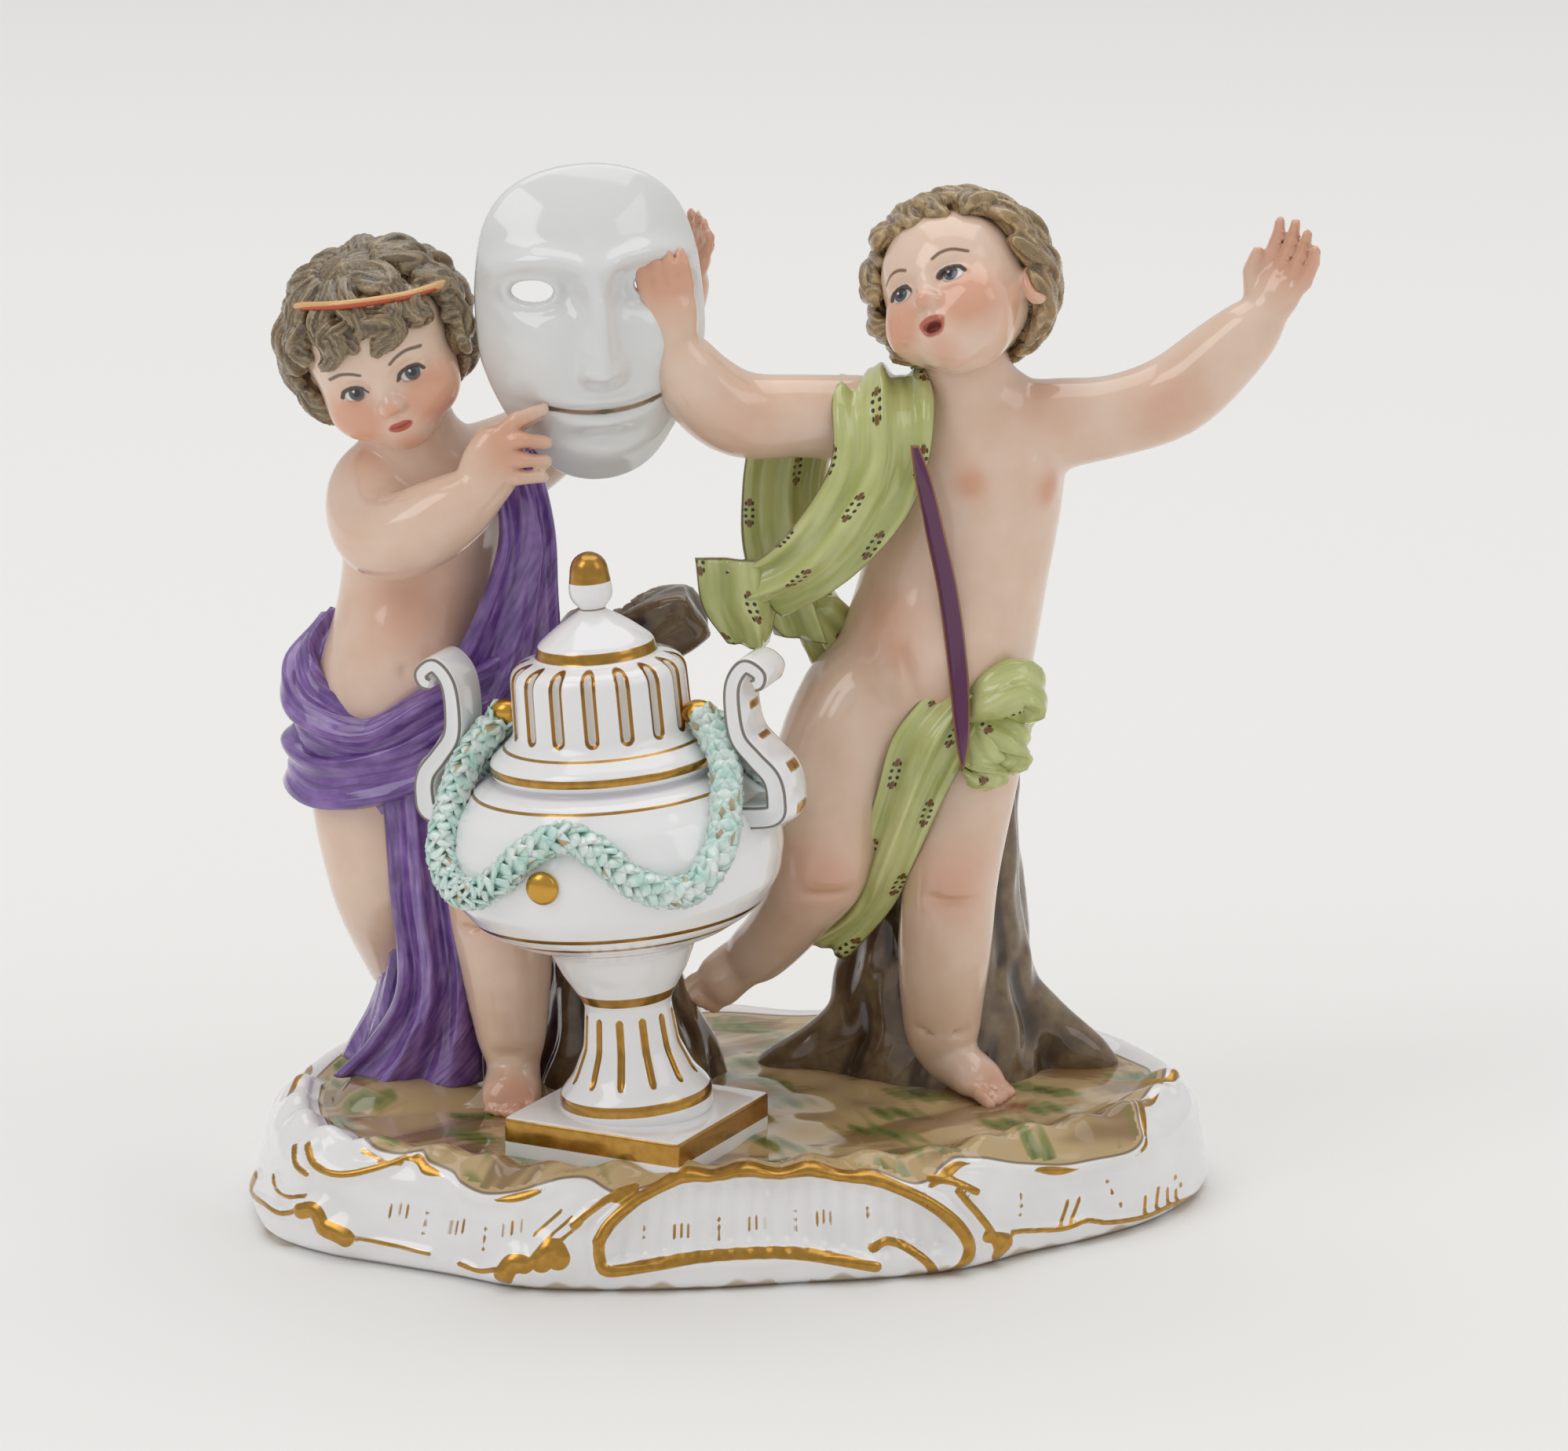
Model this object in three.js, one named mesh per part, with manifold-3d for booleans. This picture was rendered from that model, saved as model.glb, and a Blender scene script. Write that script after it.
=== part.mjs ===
// Porcelain group: two putti hold up a theatre mask beside a garlanded urn, on a scrolled rococo mound.
// Millimetres, +Z up, seen from -Y. The parts of such a group are luted together with slip and fired
// as one body, so every form below is joined into a single closed solid.
import * as THREE from 'three';
import { mergeVertices } from 'three/addons/utils/BufferGeometryUtils.js';
import Module from 'manifold-3d';

const wasm = await Module();
wasm.setup();

// Driving dimensions
const seam = 0.01; // corners closer than this become one where two forms meet
const thin = 0.003; // least height of a triangle
const ground = 14.6; // height of the painted ground above the underside
const crest = 16.4; // height of the white scrolled rim
const plinth = { side: 27, height: 5.4, turn: -27, centre: [-12.4, -25.5] }; // angles in degrees
const urn = { turn: -20, lean: -4.6, sides: 20, fluteDepth: 0.9, fluted: [[53.5, 62],
  [4, 12]] }; // fluted heights
const handleStrap = { width: 8.4, thickness: 3.4, taper: 0.3 };
const mask = {
  centre: [-18.6, -3, 124.9], halfWidth: 15.8, halfHeight: 21.9, depth: 9.5, wall: 2.2, roll: -3.5, yaw: 9,
  eye: [0.53, 0.27], // across and up, as shares of the half width and half height
};
const leftHead = { centre: [-47.6, 0.6, 120.8], radius: 12.2, yaw: 3, pitch: 16, roll: -22, locks: 9 };
const rightHead = { centre: [32.2, 0.4, 127.8], radius: 11.9, yaw: -33, pitch: -21, roll: -27, locks: 8 };

// Small helpers
const { lerp, degToRad } = THREE.MathUtils;
const vec = (p) => new THREE.Vector3(p[0], p[1], p[2]);
const bell = (x, width) => Math.exp(-((x / width) ** 2));
const circle = (count, at) => Array.from({ length: count }, (_, i) => at((i / count) * 2 * Math.PI, i));
const total = (points) => points.reduce((sum, p) => sum.add(p), new THREE.Vector3());
const middle = (points) => total(points).divideScalar(points.length);

// A closed skin through rings of equal count, closed at each end over a pole
function skin(rings, poles = [middle(rings[0]), middle(rings.at(-1))]) {
  const count = rings[0].length;
  const points = [poles[0], ...rings.flat(), poles[1]];
  const at = (ring, i) => 1 + ring * count + (i % count);
  const faces = [];
  for (let i = 0; i < count; i++) {
    faces.push([0, at(0, i + 1), at(0, i)]);
    faces.push([points.length - 1, at(rings.length - 1, i), at(rings.length - 1, i + 1)]);
    for (let ring = 1; ring < rings.length; ring++) {
      faces.push([at(ring - 1, i), at(ring - 1, i + 1), at(ring, i + 1)]);
      faces.push([at(ring - 1, i), at(ring, i + 1), at(ring, i)]);
    }
  }
  const geometry = new THREE.BufferGeometry().setFromPoints(points);
  return geometry.setIndex(faces.flat());
}

// A rounded limb through stations [x, y, z, radius, depth radius]; the first radius lies along side
function limb(stations, { sides = 8, side = [1, 0, 0], ridge = () => 1, round = false } = {}) {
  const curve = new THREE.CatmullRomCurve3(stations.map(vec));
  const last = stations.length - 1;
  const ring = (station, shift = 0, shrink = 1) => {
    const t = station / last;
    const along = curve.getTangent(t);
    const centre = curve.getPoint(t).addScaledVector(along, shift);
    const across = vec(side).addScaledVector(along, -vec(side).dot(along)).normalize();
    const depth = along.clone().cross(across);
    const [radius, depthRadius = radius] = stations[station].slice(3);
    return circle(sides, (angle) => centre.clone()
      .addScaledVector(across, radius * shrink * ridge(angle, t) * Math.cos(angle))
      .addScaledVector(depth, depthRadius * shrink * ridge(angle, t) * Math.sin(angle)));
  };
  const reach = (station) => Math.min(...stations[station].slice(3)) * (station ? 1 : -1);
  const pole = (station) => middle(ring(station, reach(station) * 0.85));
  const body = stations.map((_, station) => ring(station));
  const shoulder = (station) => (round ? [ring(station, reach(station) * 0.55, 0.74)] : []);
  return skin([...shoulder(0), ...body, ...shoulder(last)], [pole(0), pole(last)]);
}

// An egg, from three.js's sphere
function egg(centre, radii, across = 8, rows = 5) {
  return new THREE.SphereGeometry(1, across, rows).scale(...radii).translate(...centre);
}

// A folded cloth through stations [left edge, right edge, bulge]: the pleats run from station to station,
// and out is the side that its middle station faces
function cloth(stations, { folds = 2, pleat = 1.1, thick = 2, out = [0, -1, 0], columns = 6 } = {}) {
  const centres = stations.map(([left, right]) => vec(left).lerp(vec(right), 0.5));
  const normals = stations.map(([left, right], i) => {
    const along = centres[Math.min(i + 1, centres.length - 1)].clone().sub(centres[Math.max(i - 1, 0)]);
    return vec(right).sub(vec(left)).cross(along).normalize();
  });
  const side = Math.sign(normals[stations.length >> 1].dot(vec(out)));
  const rings = stations.map(([left, right, bulge = 2], row) => {
    const line = (shift) => Array.from({ length: columns + 1 }, (_, i) => {
      const s = i / columns;
      const lift = bulge * Math.sin(Math.PI * s) + pleat * Math.cos(2 * Math.PI * folds * s);
      return vec(left).lerp(vec(right), s).addScaledVector(normals[row], side * (lift + shift));
    });
    return [...line(thick / 2), ...line(-thick / 2).reverse()];
  });
  return skin(rings);
}

// Merges corners closer than a distance and drops the triangles that this flattens to a line
function weld(geometry, distance) {
  const bare = geometry.deleteAttribute('normal').deleteAttribute('uv');
  const merged = mergeVertices(bare, distance);
  const corners = [...merged.index.array];
  const faces = corners.flatMap((_, i) => (i % 3 ? [] : [corners.slice(i, i + 3)]));
  return merged.setIndex(faces.filter((face) => new Set(face).size === 3).flat());
}

// A closed mesh as a solid, turned right side out
function solid(geometry) {
  const welded = weld(geometry, 1e-3);
  const vertProperties = welded.attributes.position.array;
  const corner = (i) => new THREE.Vector3().fromArray(vertProperties, 3 * i);
  const triVerts = Uint32Array.from(welded.index.array);
  let volume = 0;
  for (let i = 0; i < triVerts.length; i += 3) {
    volume += corner(triVerts[i]).dot(corner(triVerts[i + 1]).cross(corner(triVerts[i + 2])));
  }
  const outward = volume < 0 ? triVerts.reverse() : triVerts;
  return new wasm.Manifold(new wasm.Mesh({ numProp: 3, vertProperties, triVerts: outward }));
}

const join = (geometries) => geometries.map(solid).reduce((sum, next) => sum.add(next));

// The mound: an oval outline with a scrolled rim, a cartouche in front and a ground that is a little domed
const outline = [
  [-67.2, -9], [-63.5, -24], [-56.5, -31.5], [-47, -36.5], [-38, -41], [-29, -46], [-18, -47.4], [-4, -46.8],
  [9, -44.6], [22, -42.4], [33, -38.5], [42, -31.5], [52, -24.8], [61, -16], [67.4, -3], [67.6, 9], [62, 21],
  [50, 29.5], [33, 36], [13, 40.2], [-8, 41], [-28, 38], [-46, 31], [-59, 20], [-66, 6],
];
const rimBands = [ // inset from the outline, height, share of the carving
  [1.8, 0, 0], [0, 1.4, 0.6], [0.3, 4.6, 1], [1.2, 8.4, 1], [2, 12, 1], [4.2, 15, 0.6], [6.4, crest, 0],
  [9.6, 15, 0], [12, ground, 0],
];
const cartouche = { centre: 7.5, halfWidth: 26, low: 3.2, high: 13.6, frame: 1.7 };
const lumps = [[-55, 4.5], [-24, 5], [39, 6]]; // gilded shell lumps: x along the front, height
const rock = { centre: [-46, -3, 13.2], radii: [15, 11, 4] }; // swelling of the ground under the purple cloth

function carving(x, z) {
  const along = (x - cartouche.centre) / cartouche.halfWidth;
  const top = cartouche.high - 6 * along * along;
  const frame = Math.abs(along) < 1.05 ? bell(z - top, 1.8) + 0.7 * bell(z - cartouche.low, 1.6) : 0;
  const hollow = Math.abs(along) < 1 && z < top ? -0.6 : 0;
  const shells = lumps.reduce((sum, [lx, lz]) => sum + 1.6 * bell(x - lx, 3.4) * bell(z - lz, 3), 0);
  return cartouche.frame * frame + hollow + shells;
}

function mound() {
  const curve = new THREE.CatmullRomCurve3(outline.map(([x, y]) => new THREE.Vector3(x, y, 0)), true);
  const [frontSteps, backSteps, frontShare] = [34, 14, 0.52]; // of the outline's length
  const along = (i) => {
    const behind = i - frontSteps;
    return behind < 0 ? frontShare * i / frontSteps : lerp(frontShare, 1, behind / backSteps);
  };
  const rings = rimBands.map(([inset, z, share]) => circle(frontSteps + backSteps, (_, i) => {
    const edge = curve.getPointAt(along(i));
    const outwards = edge.clone().multiply(new THREE.Vector3(1, 1.35, 1)).normalize();
    const scallop = z > 12 && inset < 20 ? 0.6 * Math.sin(i * 0.9) : 0;
    const swell = (edge.y < 0 ? share * carving(edge.x, z) : 0) - inset - scallop;
    return edge.addScaledVector(outwards, swell).setZ(z + (z === crest ? scallop : 0));
  }));
  return skin(rings, [new THREE.Vector3(), new THREE.Vector3(0, 0, ground + 0.8)]);
}

// Tree stumps behind the putti, with ridged bark, spreading roots and a sawn branch
function stumps() {
  const bark = (lobes) => (angle, t) => 1 + (0.06 + 0.1 * (1 - t)) * Math.cos(lobes * angle + 2 * t);
  const root = (stations) => limb(stations, { sides: 6 });
  return [
    limb([[29.5, 13, 12, 18, 14], [29.5, 13, 18, 15.2, 12.5], [29.5, 13, 29, 13.4, 11.4],
      [30, 12.5, 44, 11, 10],
      [31.5, 11.5, 60, 9, 8]], { sides: 10, ridge: bark(4) }),
    root([[40, 12, 23, 5], [46, 12, 18.5, 3.6], [54, 12, 14.4, 1.8]]),
    root([[20, 10, 21, 4.5], [12.5, 10, 16.8, 3.4], [5.5, 11, 14.4, 1.8]]),
    limb([[-15, 6, 12, 15, 12], [-15.5, 6.5, 18, 11.5, 10], [-16.5, 7, 29, 9, 8.5], [-18, 8, 50, 7.8, 7.2],
      [-19, 9.5, 76, 6.6, 6]], { sides: 9, ridge: bark(3) }),
    limb([[-17, 9, 70, 4.6], [-12, 8.8, 78, 4.2], [-5, 8.2, 82, 4]], { side: [0, 1, 0] }),
  ];
}

// The urn: half profile [radius, height above the plinth], from the foot to the acorn
const urnProfile = [
  [0, -1], [10.5, -1], [10.5, 2.6], [8.4, 5], [6.6, 9], [5.9, 15], [6.9, 16.8], [8.6, 19.6], [10.2, 23.4],
  [15.6, 25.6], [19.6, 28.2], [22.4, 32], [23.2, 36], [23, 39], [21, 43.2], [18.3, 46.4], [15.4, 47.5],
  [15.9, 50.1],
  [12.2, 54], [12, 61.6], [10.4, 63.2], [8.1, 64], [8.1, 65.4], [5, 67.9], [1.7, 70], [3, 72.4], [2.5, 76.2],
  [0, 77.9],
];
const handlePath = [[20, 42], [24.9, 42.4], [25.7, 44.6], [25.2, 47.6], [23, 50.2], [20.9, 53], [20.4, 57],
  [20.8, 60.6], [22.6, 62.8], [24.5, 61.8]]; // centre line: radius, height
const festoon = [[0, 43.8], [12, 42], [22, 38.4], [33, 36], [44, 36.2], [55, 39.6], [64, 43.6], [78, 50],
  [90, 55]]; // degrees off the front, height
// proud of the urn, and more so midway, where it swings clear of the shoulder; skew turns its crest (degrees)
const wreath = { radius: 2.1, proud: 1.2, midway: 2, neckReach: 13.4, skew: 5 };
const knobs = [[[14, 0, 55.6], [2.4, 1.8, 1.8]], [[-0.9, -23.4, 37.4], [2.3, 1.2, 2.3]]]; // centre, radii

// Outer radius of the urn at a height above its plinth
function urnRadius(height) {
  const above = urnProfile.findIndex((p) => p[1] > height);
  const [low, high] = [urnProfile[above - 1], urnProfile[above]];
  return lerp(low[0], high[0], (height - low[1]) / (high[1] - low[1]));
}

function handle(sign) {
  const curve = new THREE.CatmullRomCurve3(handlePath.map(([r, z]) => new THREE.Vector3(r, 0, z)));
  const steps = 13;
  const rings = Array.from({ length: steps + 1 }, (_, i) => {
    const [centre, along] = [curve.getPoint(i / steps), curve.getTangent(i / steps)];
    const normal = new THREE.Vector3(along.z, 0, -along.x).multiplyScalar(
      handleStrap.thickness * (1 - handleStrap.taper * i / steps) / 2,
    );
    const corners = [[-1, -1], [1, -1], [1.3, 0], [1, 1], [-1, 1]];
    return corners.map(([n, w]) => {
      const corner = centre.clone().addScaledVector(normal, n).setY(w * handleStrap.width / 2);
      return corner.multiply(new THREE.Vector3(sign, sign, 1));
    });
  });
  return skin(rings);
}

function garland(halfTurn) {
  const whole = [...festoon.slice(1).reverse().map(([angle, z]) => [-angle, z]), ...festoon];
  const stations = whole.map(([angle, z]) => {
    const clear = wreath.proud + wreath.midway * bell(z - 49, 4);
    const azimuth = degToRad(angle + halfTurn + wreath.skew * Math.cos(degToRad(angle)));
    const reach = Math.max(urnRadius(z), wreath.neckReach) + clear;
    return [reach * Math.sin(azimuth), -reach * Math.cos(azimuth), z, wreath.radius];
  });
  return limb(stations, { sides: 4, side: [0.2, 0.1, 1] });
}

// Pushes every other line of points in between two heights, which makes flutes
function flute(geometry, low, high, depth) {
  const positions = geometry.attributes.position;
  for (let i = 0; i < positions.count; i++) {
    const [x, y, z] = [positions.getX(i), positions.getY(i), positions.getZ(i)];
    const line = Math.round((Math.atan2(y, x) / (2 * Math.PI)) * urn.sides);
    const shrink = z > low && z < high && line % 2 ? 1 - depth / Math.hypot(x, y) : 1;
    positions.setXYZ(i, x * shrink, y * shrink, z);
  }
  return geometry;
}

function vase() {
  const points = urnProfile.map(([radius, height]) => new THREE.Vector2(radius, height));
  const body = new THREE.LatheGeometry(points, urn.sides).rotateX(Math.PI / 2);
  urn.fluted.forEach(([low, high]) => flute(body, low, high, urn.fluteDepth));
  const trims = [1, -1].flatMap((sign) => [
    handle(sign),
    ...knobs.map(([[x, y, z], radii]) => egg([sign * x, sign * y, z], radii, 6, 4)),
    garland(sign > 0 ? 0 : 180),
  ]);
  return [body, ...trims].map((geometry) => geometry.rotateZ(degToRad(urn.turn)).rotateY(degToRad(urn.lean))
    .translate(...plinth.centre, ground + plinth.height));
}

function plinthBlock() {
  const { side, height } = plinth;
  return new THREE.BoxGeometry(side, side, height + 1).rotateZ(degToRad(plinth.turn))
    .translate(...plinth.centre, ground + (height - 1) / 2);
}

// The mask: a face-shaped shell, open behind and pierced at the eyes. u and v run -1 to 1 across and up
function maskRelief(u, v) {
  const [across, up] = mask.eye;
  const bridge = v > up ? bell(v - up, 0.16) : 1;
  const tip = -0.25; // height of the nose's tip
  const slope = v > tip ? lerp(1, 0.4, Math.min((v - tip) / 0.6, 1)) : bell(v - tip, 0.09);
  const nose = 0.3 * bell(u, 0.15) * slope;
  const brow = 0.08 * bell(v - up - 0.2, 0.1) * bell(u, 0.8);
  const eyes = -0.15 * (bell(u - across, 0.22) + bell(u + across, 0.22)) * bell(v - up, 0.12);
  const lips = 0.08 * bell(u, 0.35) * (bell(v + 0.45, 0.06) + bell(v + 0.6, 0.07));
  return nose * bridge + brow + eyes + lips + 0.09 * bell(u, 0.25) * bell(v + 0.8, 0.14);
}

// Widens the oval towards the forehead and narrows it towards the chin
const maskTaper = (v) => (v < 0 ? 1 - 0.24 * v * v : 1 + 0.36 * v * v + 0.1 * v ** 6);

function maskShell() {
  const [around, rows] = [16, 5];
  const surface = (u, v, front) => {
    const dome = 1 - Math.min(u * u + v * v, 1) ** 1.25;
    const depth = front ? mask.depth * (dome + maskRelief(u, v)) : (mask.depth - 1) * dome - mask.wall;
    const taper = maskTaper(v) * (front ? 1 : 0.9);
    return new THREE.Vector3(u * taper * mask.halfWidth, -depth, v * (front ? 1 : 0.93) * mask.halfHeight);
  };
  const ring = (radius, front) => (
    circle(around, (a) => surface(radius * Math.cos(a), radius * Math.sin(a), front)));
  const radii = Array.from({ length: rows }, (_, k) => (k + 1) / rows);
  const rings = [...radii.map((r) => ring(r, true)), ...radii.toReversed().map((r) => ring(r, false))];
  const shell = skin(rings, [surface(0, 0, true), surface(0, 0, false)]);
  const [across, up] = [mask.eye[0] * mask.halfWidth, mask.eye[1] * mask.halfHeight];
  const holes = [-1, 1].map((sign) => egg([sign * across, -7, up], [2, 9, 1.2], 8, 6));
  const held = (geometry) => geometry.rotateY(degToRad(mask.roll)).rotateZ(degToRad(mask.yaw))
    .translate(...mask.centre);
  return solid(held(shell)).subtract(join(holes.map(held)));
}

// A child's head. In its own frame the face looks to -Y; the hair stands proud of it in wavy locks
function headForm(x, y, z, locks) {
  const front = y < 0 ? -y : 0;
  const cheeks = 0.1 * (bell(x - 0.5, 0.32) + bell(x + 0.5, 0.32)) * bell(z + 0.38, 0.28);
  const chin = 0.13 * bell(x, 0.3) * bell(z + 0.86, 0.22);
  const sockets = -0.05 * (bell(x - 0.38, 0.2) + bell(x + 0.38, 0.2)) * bell(z + 0.06, 0.14);
  const nose = 0.15 * bell(x, 0.12) * bell(z + 0.3, 0.14);
  const lips = 0.06 * bell(x, 0.2) * bell(z + 0.56, 0.1);
  const hairline = y + 0.55 * (z < 0 ? 0 : z) + 0.35 - 0.28 * Math.min(z, 0);
  const hairy = z > -0.75 ? THREE.MathUtils.smoothstep(hairline, -0.05, 0.12) : 0;
  const azimuth = Math.atan2(x, -y);
  const wave = 0.055 * Math.sin(locks * azimuth + 5 * z) + 0.03 * Math.sin(7 * z + 2 * azimuth);
  return 1 + front * (cheeks + chin + sockets + nose + lips) + hairy * (0.13 + wave);
}

function head({ centre, radius, yaw, pitch, roll, locks }) {
  const geometry = new THREE.SphereGeometry(1, 20, 12).rotateX(Math.PI / 2);
  const positions = geometry.attributes.position;
  for (let i = 0; i < positions.count; i++) {
    const p = new THREE.Vector3().fromBufferAttribute(positions, i);
    const oval = new THREE.Vector3(0.93, 0.96, p.z < 0 ? 1.02 : 1.04);
    p.multiplyScalar(headForm(p.x, p.y, p.z, locks)).multiply(oval);
    positions.setXYZ(i, ...p.multiplyScalar(radius));
  }
  const ears = [-1, 1].map((sign) => egg([sign * radius * 0.98, 0, -radius * 0.2], [1.3, 2, 2.6], 5, 3));
  return [geometry, ...ears].map((part) => part.rotateY(degToRad(roll)).rotateX(degToRad(pitch))
    .rotateZ(degToRad(yaw)).translate(...centre));
}

// A hand: a palm, four fingers that bend to the palm's side, and a thumb on the side named by its sign
function hand(wrist, towards, palm, { bend = 0.6, thumb = 1, size = 1 } = {}) {
  const along = vec(towards).normalize();
  const face = vec(palm).addScaledVector(along, -vec(palm).dot(along)).normalize();
  const across = along.clone().cross(face).multiplyScalar(thumb);
  const scale = new THREE.Vector3(size, size, size);
  const frame = new THREE.Matrix4().makeBasis(along, face, across).scale(scale).setPosition(...wrist);
  const finger = (stations) => limb(stations, { sides: 4, side: [0, 0, 1] });
  const fingers = [[-2.4, 4], [-0.85, 4.9], [0.75, 5], [2.3, 4.3]].map(([s, long]) => finger([
    [4.6, 0, s, 0.8, 1], [5.6 + long * 0.5, bend * 0.6, s * 1.14, 0.8, 1],
    [5.8 + long, bend * 2.4, s * 1.2, 0.7],
  ]));
  const thumbs = finger([[1, 0.3, 2, 1.4], [3.8, 1.2, 4, 1.1], [6.2, 1.8, 4.4, 0.85]]);
  const palms = limb([[-0.6, 0, 0, 2.3, 2.1], [2.6, 0, 0, 3.2, 1.9],
    [5.2, 0, 0, 3.1, 1.5]], { sides: 6, side: [0, 0, 1] });
  return [palms, ...fingers, thumbs].map((part) => part.applyMatrix4(frame));
}

// A foot from heel to toes; the big toe is on the side named by its sign
function foot(heel, toes, width = 3.3, bigToe = 1) {
  const along = vec(toes).sub(vec(heel));
  const reach = along.length();
  along.normalize();
  const side = along.clone().cross(new THREE.Vector3(0, 0, 1)).normalize();
  const frame = new THREE.Matrix4().makeBasis(along, side, side.clone().cross(along)).setPosition(...heel);
  const sole = limb([[0, 0, 0.6, width * 0.85, 2.9], [reach * 0.5, 0, 0.4, width, 2.6],
    [reach * 0.86, 0, -0.5, width, 1.7]],
    { side: [0, 1, 0], round: true });
  const row = [-1, -0.5, -0.05, 0.42, 0.88].map((share, i) => {
    const size = 1.3 - 0.12 * i;
    const across = 0.85 * bigToe * share * width;
    return new THREE.OctahedronGeometry(size, 0).translate(reach - 0.6 * i, across, -0.8);
  });
  return [sole, ...row].map((part) => part.applyMatrix4(frame));
}

// The hand that pinches the mask's edge: palm, then four stacked fingers from knuckle to tip
function pinch() {
  const fingers = [
    [[-31.4, -11.6, 110.6], [-28.6, -12.4, 113], [-24.9, -10.8, 114.2]], [[-30.6, -12.2, 110],
    [-24.6, -11.4, 109.8]],
    [[-30.6, -12.4, 107.6], [-24.6, -11.6, 107.4]], [[-30.8, -12.2, 105.4], [-24.9, -11.4, 105.3]],
  ];
  return [
    limb([[-34, -11.8, 102.4, 3, 2.8], [-32.2, -11.8, 106.4, 3.8, 2.6],
      [-31.2, -11.6, 110, 3, 2.2]], { sides: 6 }),
    ...fingers.map((line) => limb(line.map((p) => [...p, 1.1]), { sides: 4, side: [0, 0, 1] })),
  ];
}

function leftPutto() {
  return [
    limb([[-46.2, 4.2, 62, 12, 10.6], [-46, 4.2, 69, 12.2, 10.8], [-44.4, 4.4, 79, 10.2, 9.6],
      [-42.8, 4.3, 91, 9.9, 8.6],
      [-42.6, 4, 101, 11.2, 6.8], [-43.4, 3.4, 106, 6, 5.2]], { sides: 10 }),
    limb([[-43.6, 3.2, 104, 5.2], [-45, 2, 114, 5.2]]),
    limb([[-49.4, 4, 66, 9], [-49.4, 1.5, 55.5, 8.2], [-48.6, 0, 45.5, 6.7], [-47.6, 5, 37.5, 5.7],
      [-46.6, 12, 28, 3.8]]),
    ...foot([-46.8, 12.6, 24.5], [-51.2, 12.6, 19.5], 3),
    limb([[-41, 3.5, 66, 9], [-36.6, -1, 55.5, 8], [-33.4, -5, 45, 6.5], [-31.4, -5.4, 35, 5.9],
      [-30.3, -6.4, 20.5, 3.9]]),
    ...foot([-30.2, -6.4, 17.6], [-30.6, -15.2, 16.6]),
    limb([[-45, 5, 101, 4.6], [-48.8, 1.6, 100.6, 5.6], [-48.8, -3.4, 97, 5.3], [-45.8, -8.6, 95.8, 5],
      [-40, -11, 98.8, 4.7],
      [-34.2, -11.8, 102.6, 3.3]], { sides: 7, side: [0.3, 0.2, 1] }),
    ...pinch(),
    limb([[-41, 4, 100, 4.6], [-34.6, 6.4, 101.8, 6.2], [-26, 11, 106, 5.1], [-17.4, 12.6, 113.6, 4.8],
      [-10.2, 11, 122, 4.2], [-5.8, 7.6, 129, 3.1]], { sides: 7, side: [0, 1, 0] }),
    ...hand([-5.6, 7.2, 130], [0.25, -0.35, 0.8], [-0.75, -0.6, 0.1], { bend: 0.9, thumb: -1, size: 0.84 }),
  ];
}

function rightPutto() {
  return [
    limb([[27, 3.8, 61, 11.4, 9.2], [27.2, 3.6, 69.5, 13, 10], [29.6, 2.6, 79, 12.3, 10.6],
      [32, 2.4, 90, 11.7, 9.2],
      [34.4, 1.8, 101, 11.2, 8.4], [34.2, 2, 109, 11.2, 6.6], [33.4, 2, 113.6, 6.4, 5]], { sides: 10 }),
    limb([[33.2, 1.8, 111, 5.2], [32.6, 1, 121, 5.1]]),
    egg([22, 8.6, 69], [7.4, 7, 7.4]),
    limb([[19.4, 3, 70, 9.3], [14.8, 0.4, 59.5, 8.1], [13.4, -2.5, 48.6, 6.3], [9.4, 1.6, 40.4, 4.5],
      [6, 5.6, 34.8, 3.7],
      [2.8, 8.6, 31, 3.2]]),
    ...foot([3, 9.4, 31], [-3.2, 10.4, 24.8], 3.1),
    limb([[32.4, 3, 68, 9], [32, 0.5, 57, 7.2], [31.2, -2.3, 46.6, 5.9], [30.5, -1, 36, 5.8],
      [30.2, 0.8, 27, 4.9],
      [30.3, 2, 20.4, 4.2]]),
    ...foot([30.5, 2.4, 17.6], [38.6, -7.4, 16.5], 3.5, -1),
    limb([[29, 2, 107, 4.6], [21.6, 1.6, 110, 5.6], [11, -0.8, 111.6, 4.9], [2, -2.6, 112, 5],
      [-3.6, -4.6, 116, 4.5],
      [-6.8, -6.6, 121.4, 3.2]], { sides: 7, side: [0, 1, 0] }),
    ...hand([-7.1, -6.9, 122.4], [-0.14, -0.1, 0.95], [-0.25, 0.9, 0], { bend: 0.3, size: 0.98 }),
    limb([[38, 2, 107, 4.6], [44.4, 1.8, 109.8, 5.4], [53, 2.6, 110.8, 4.8], [61.6, 3, 113.6, 4.9],
      [68, 2, 119.2, 4.4],
      [73.6, 1, 124.8, 3.1]], { sides: 7, side: [0, 1, 0] }),
    ...hand([74, 1, 125.6], [0.5, -0.12, 0.85], [-0.5, -0.75, 0.3], { bend: 0.7, thumb: -1, size: 1 }),
  ];
}

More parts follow.
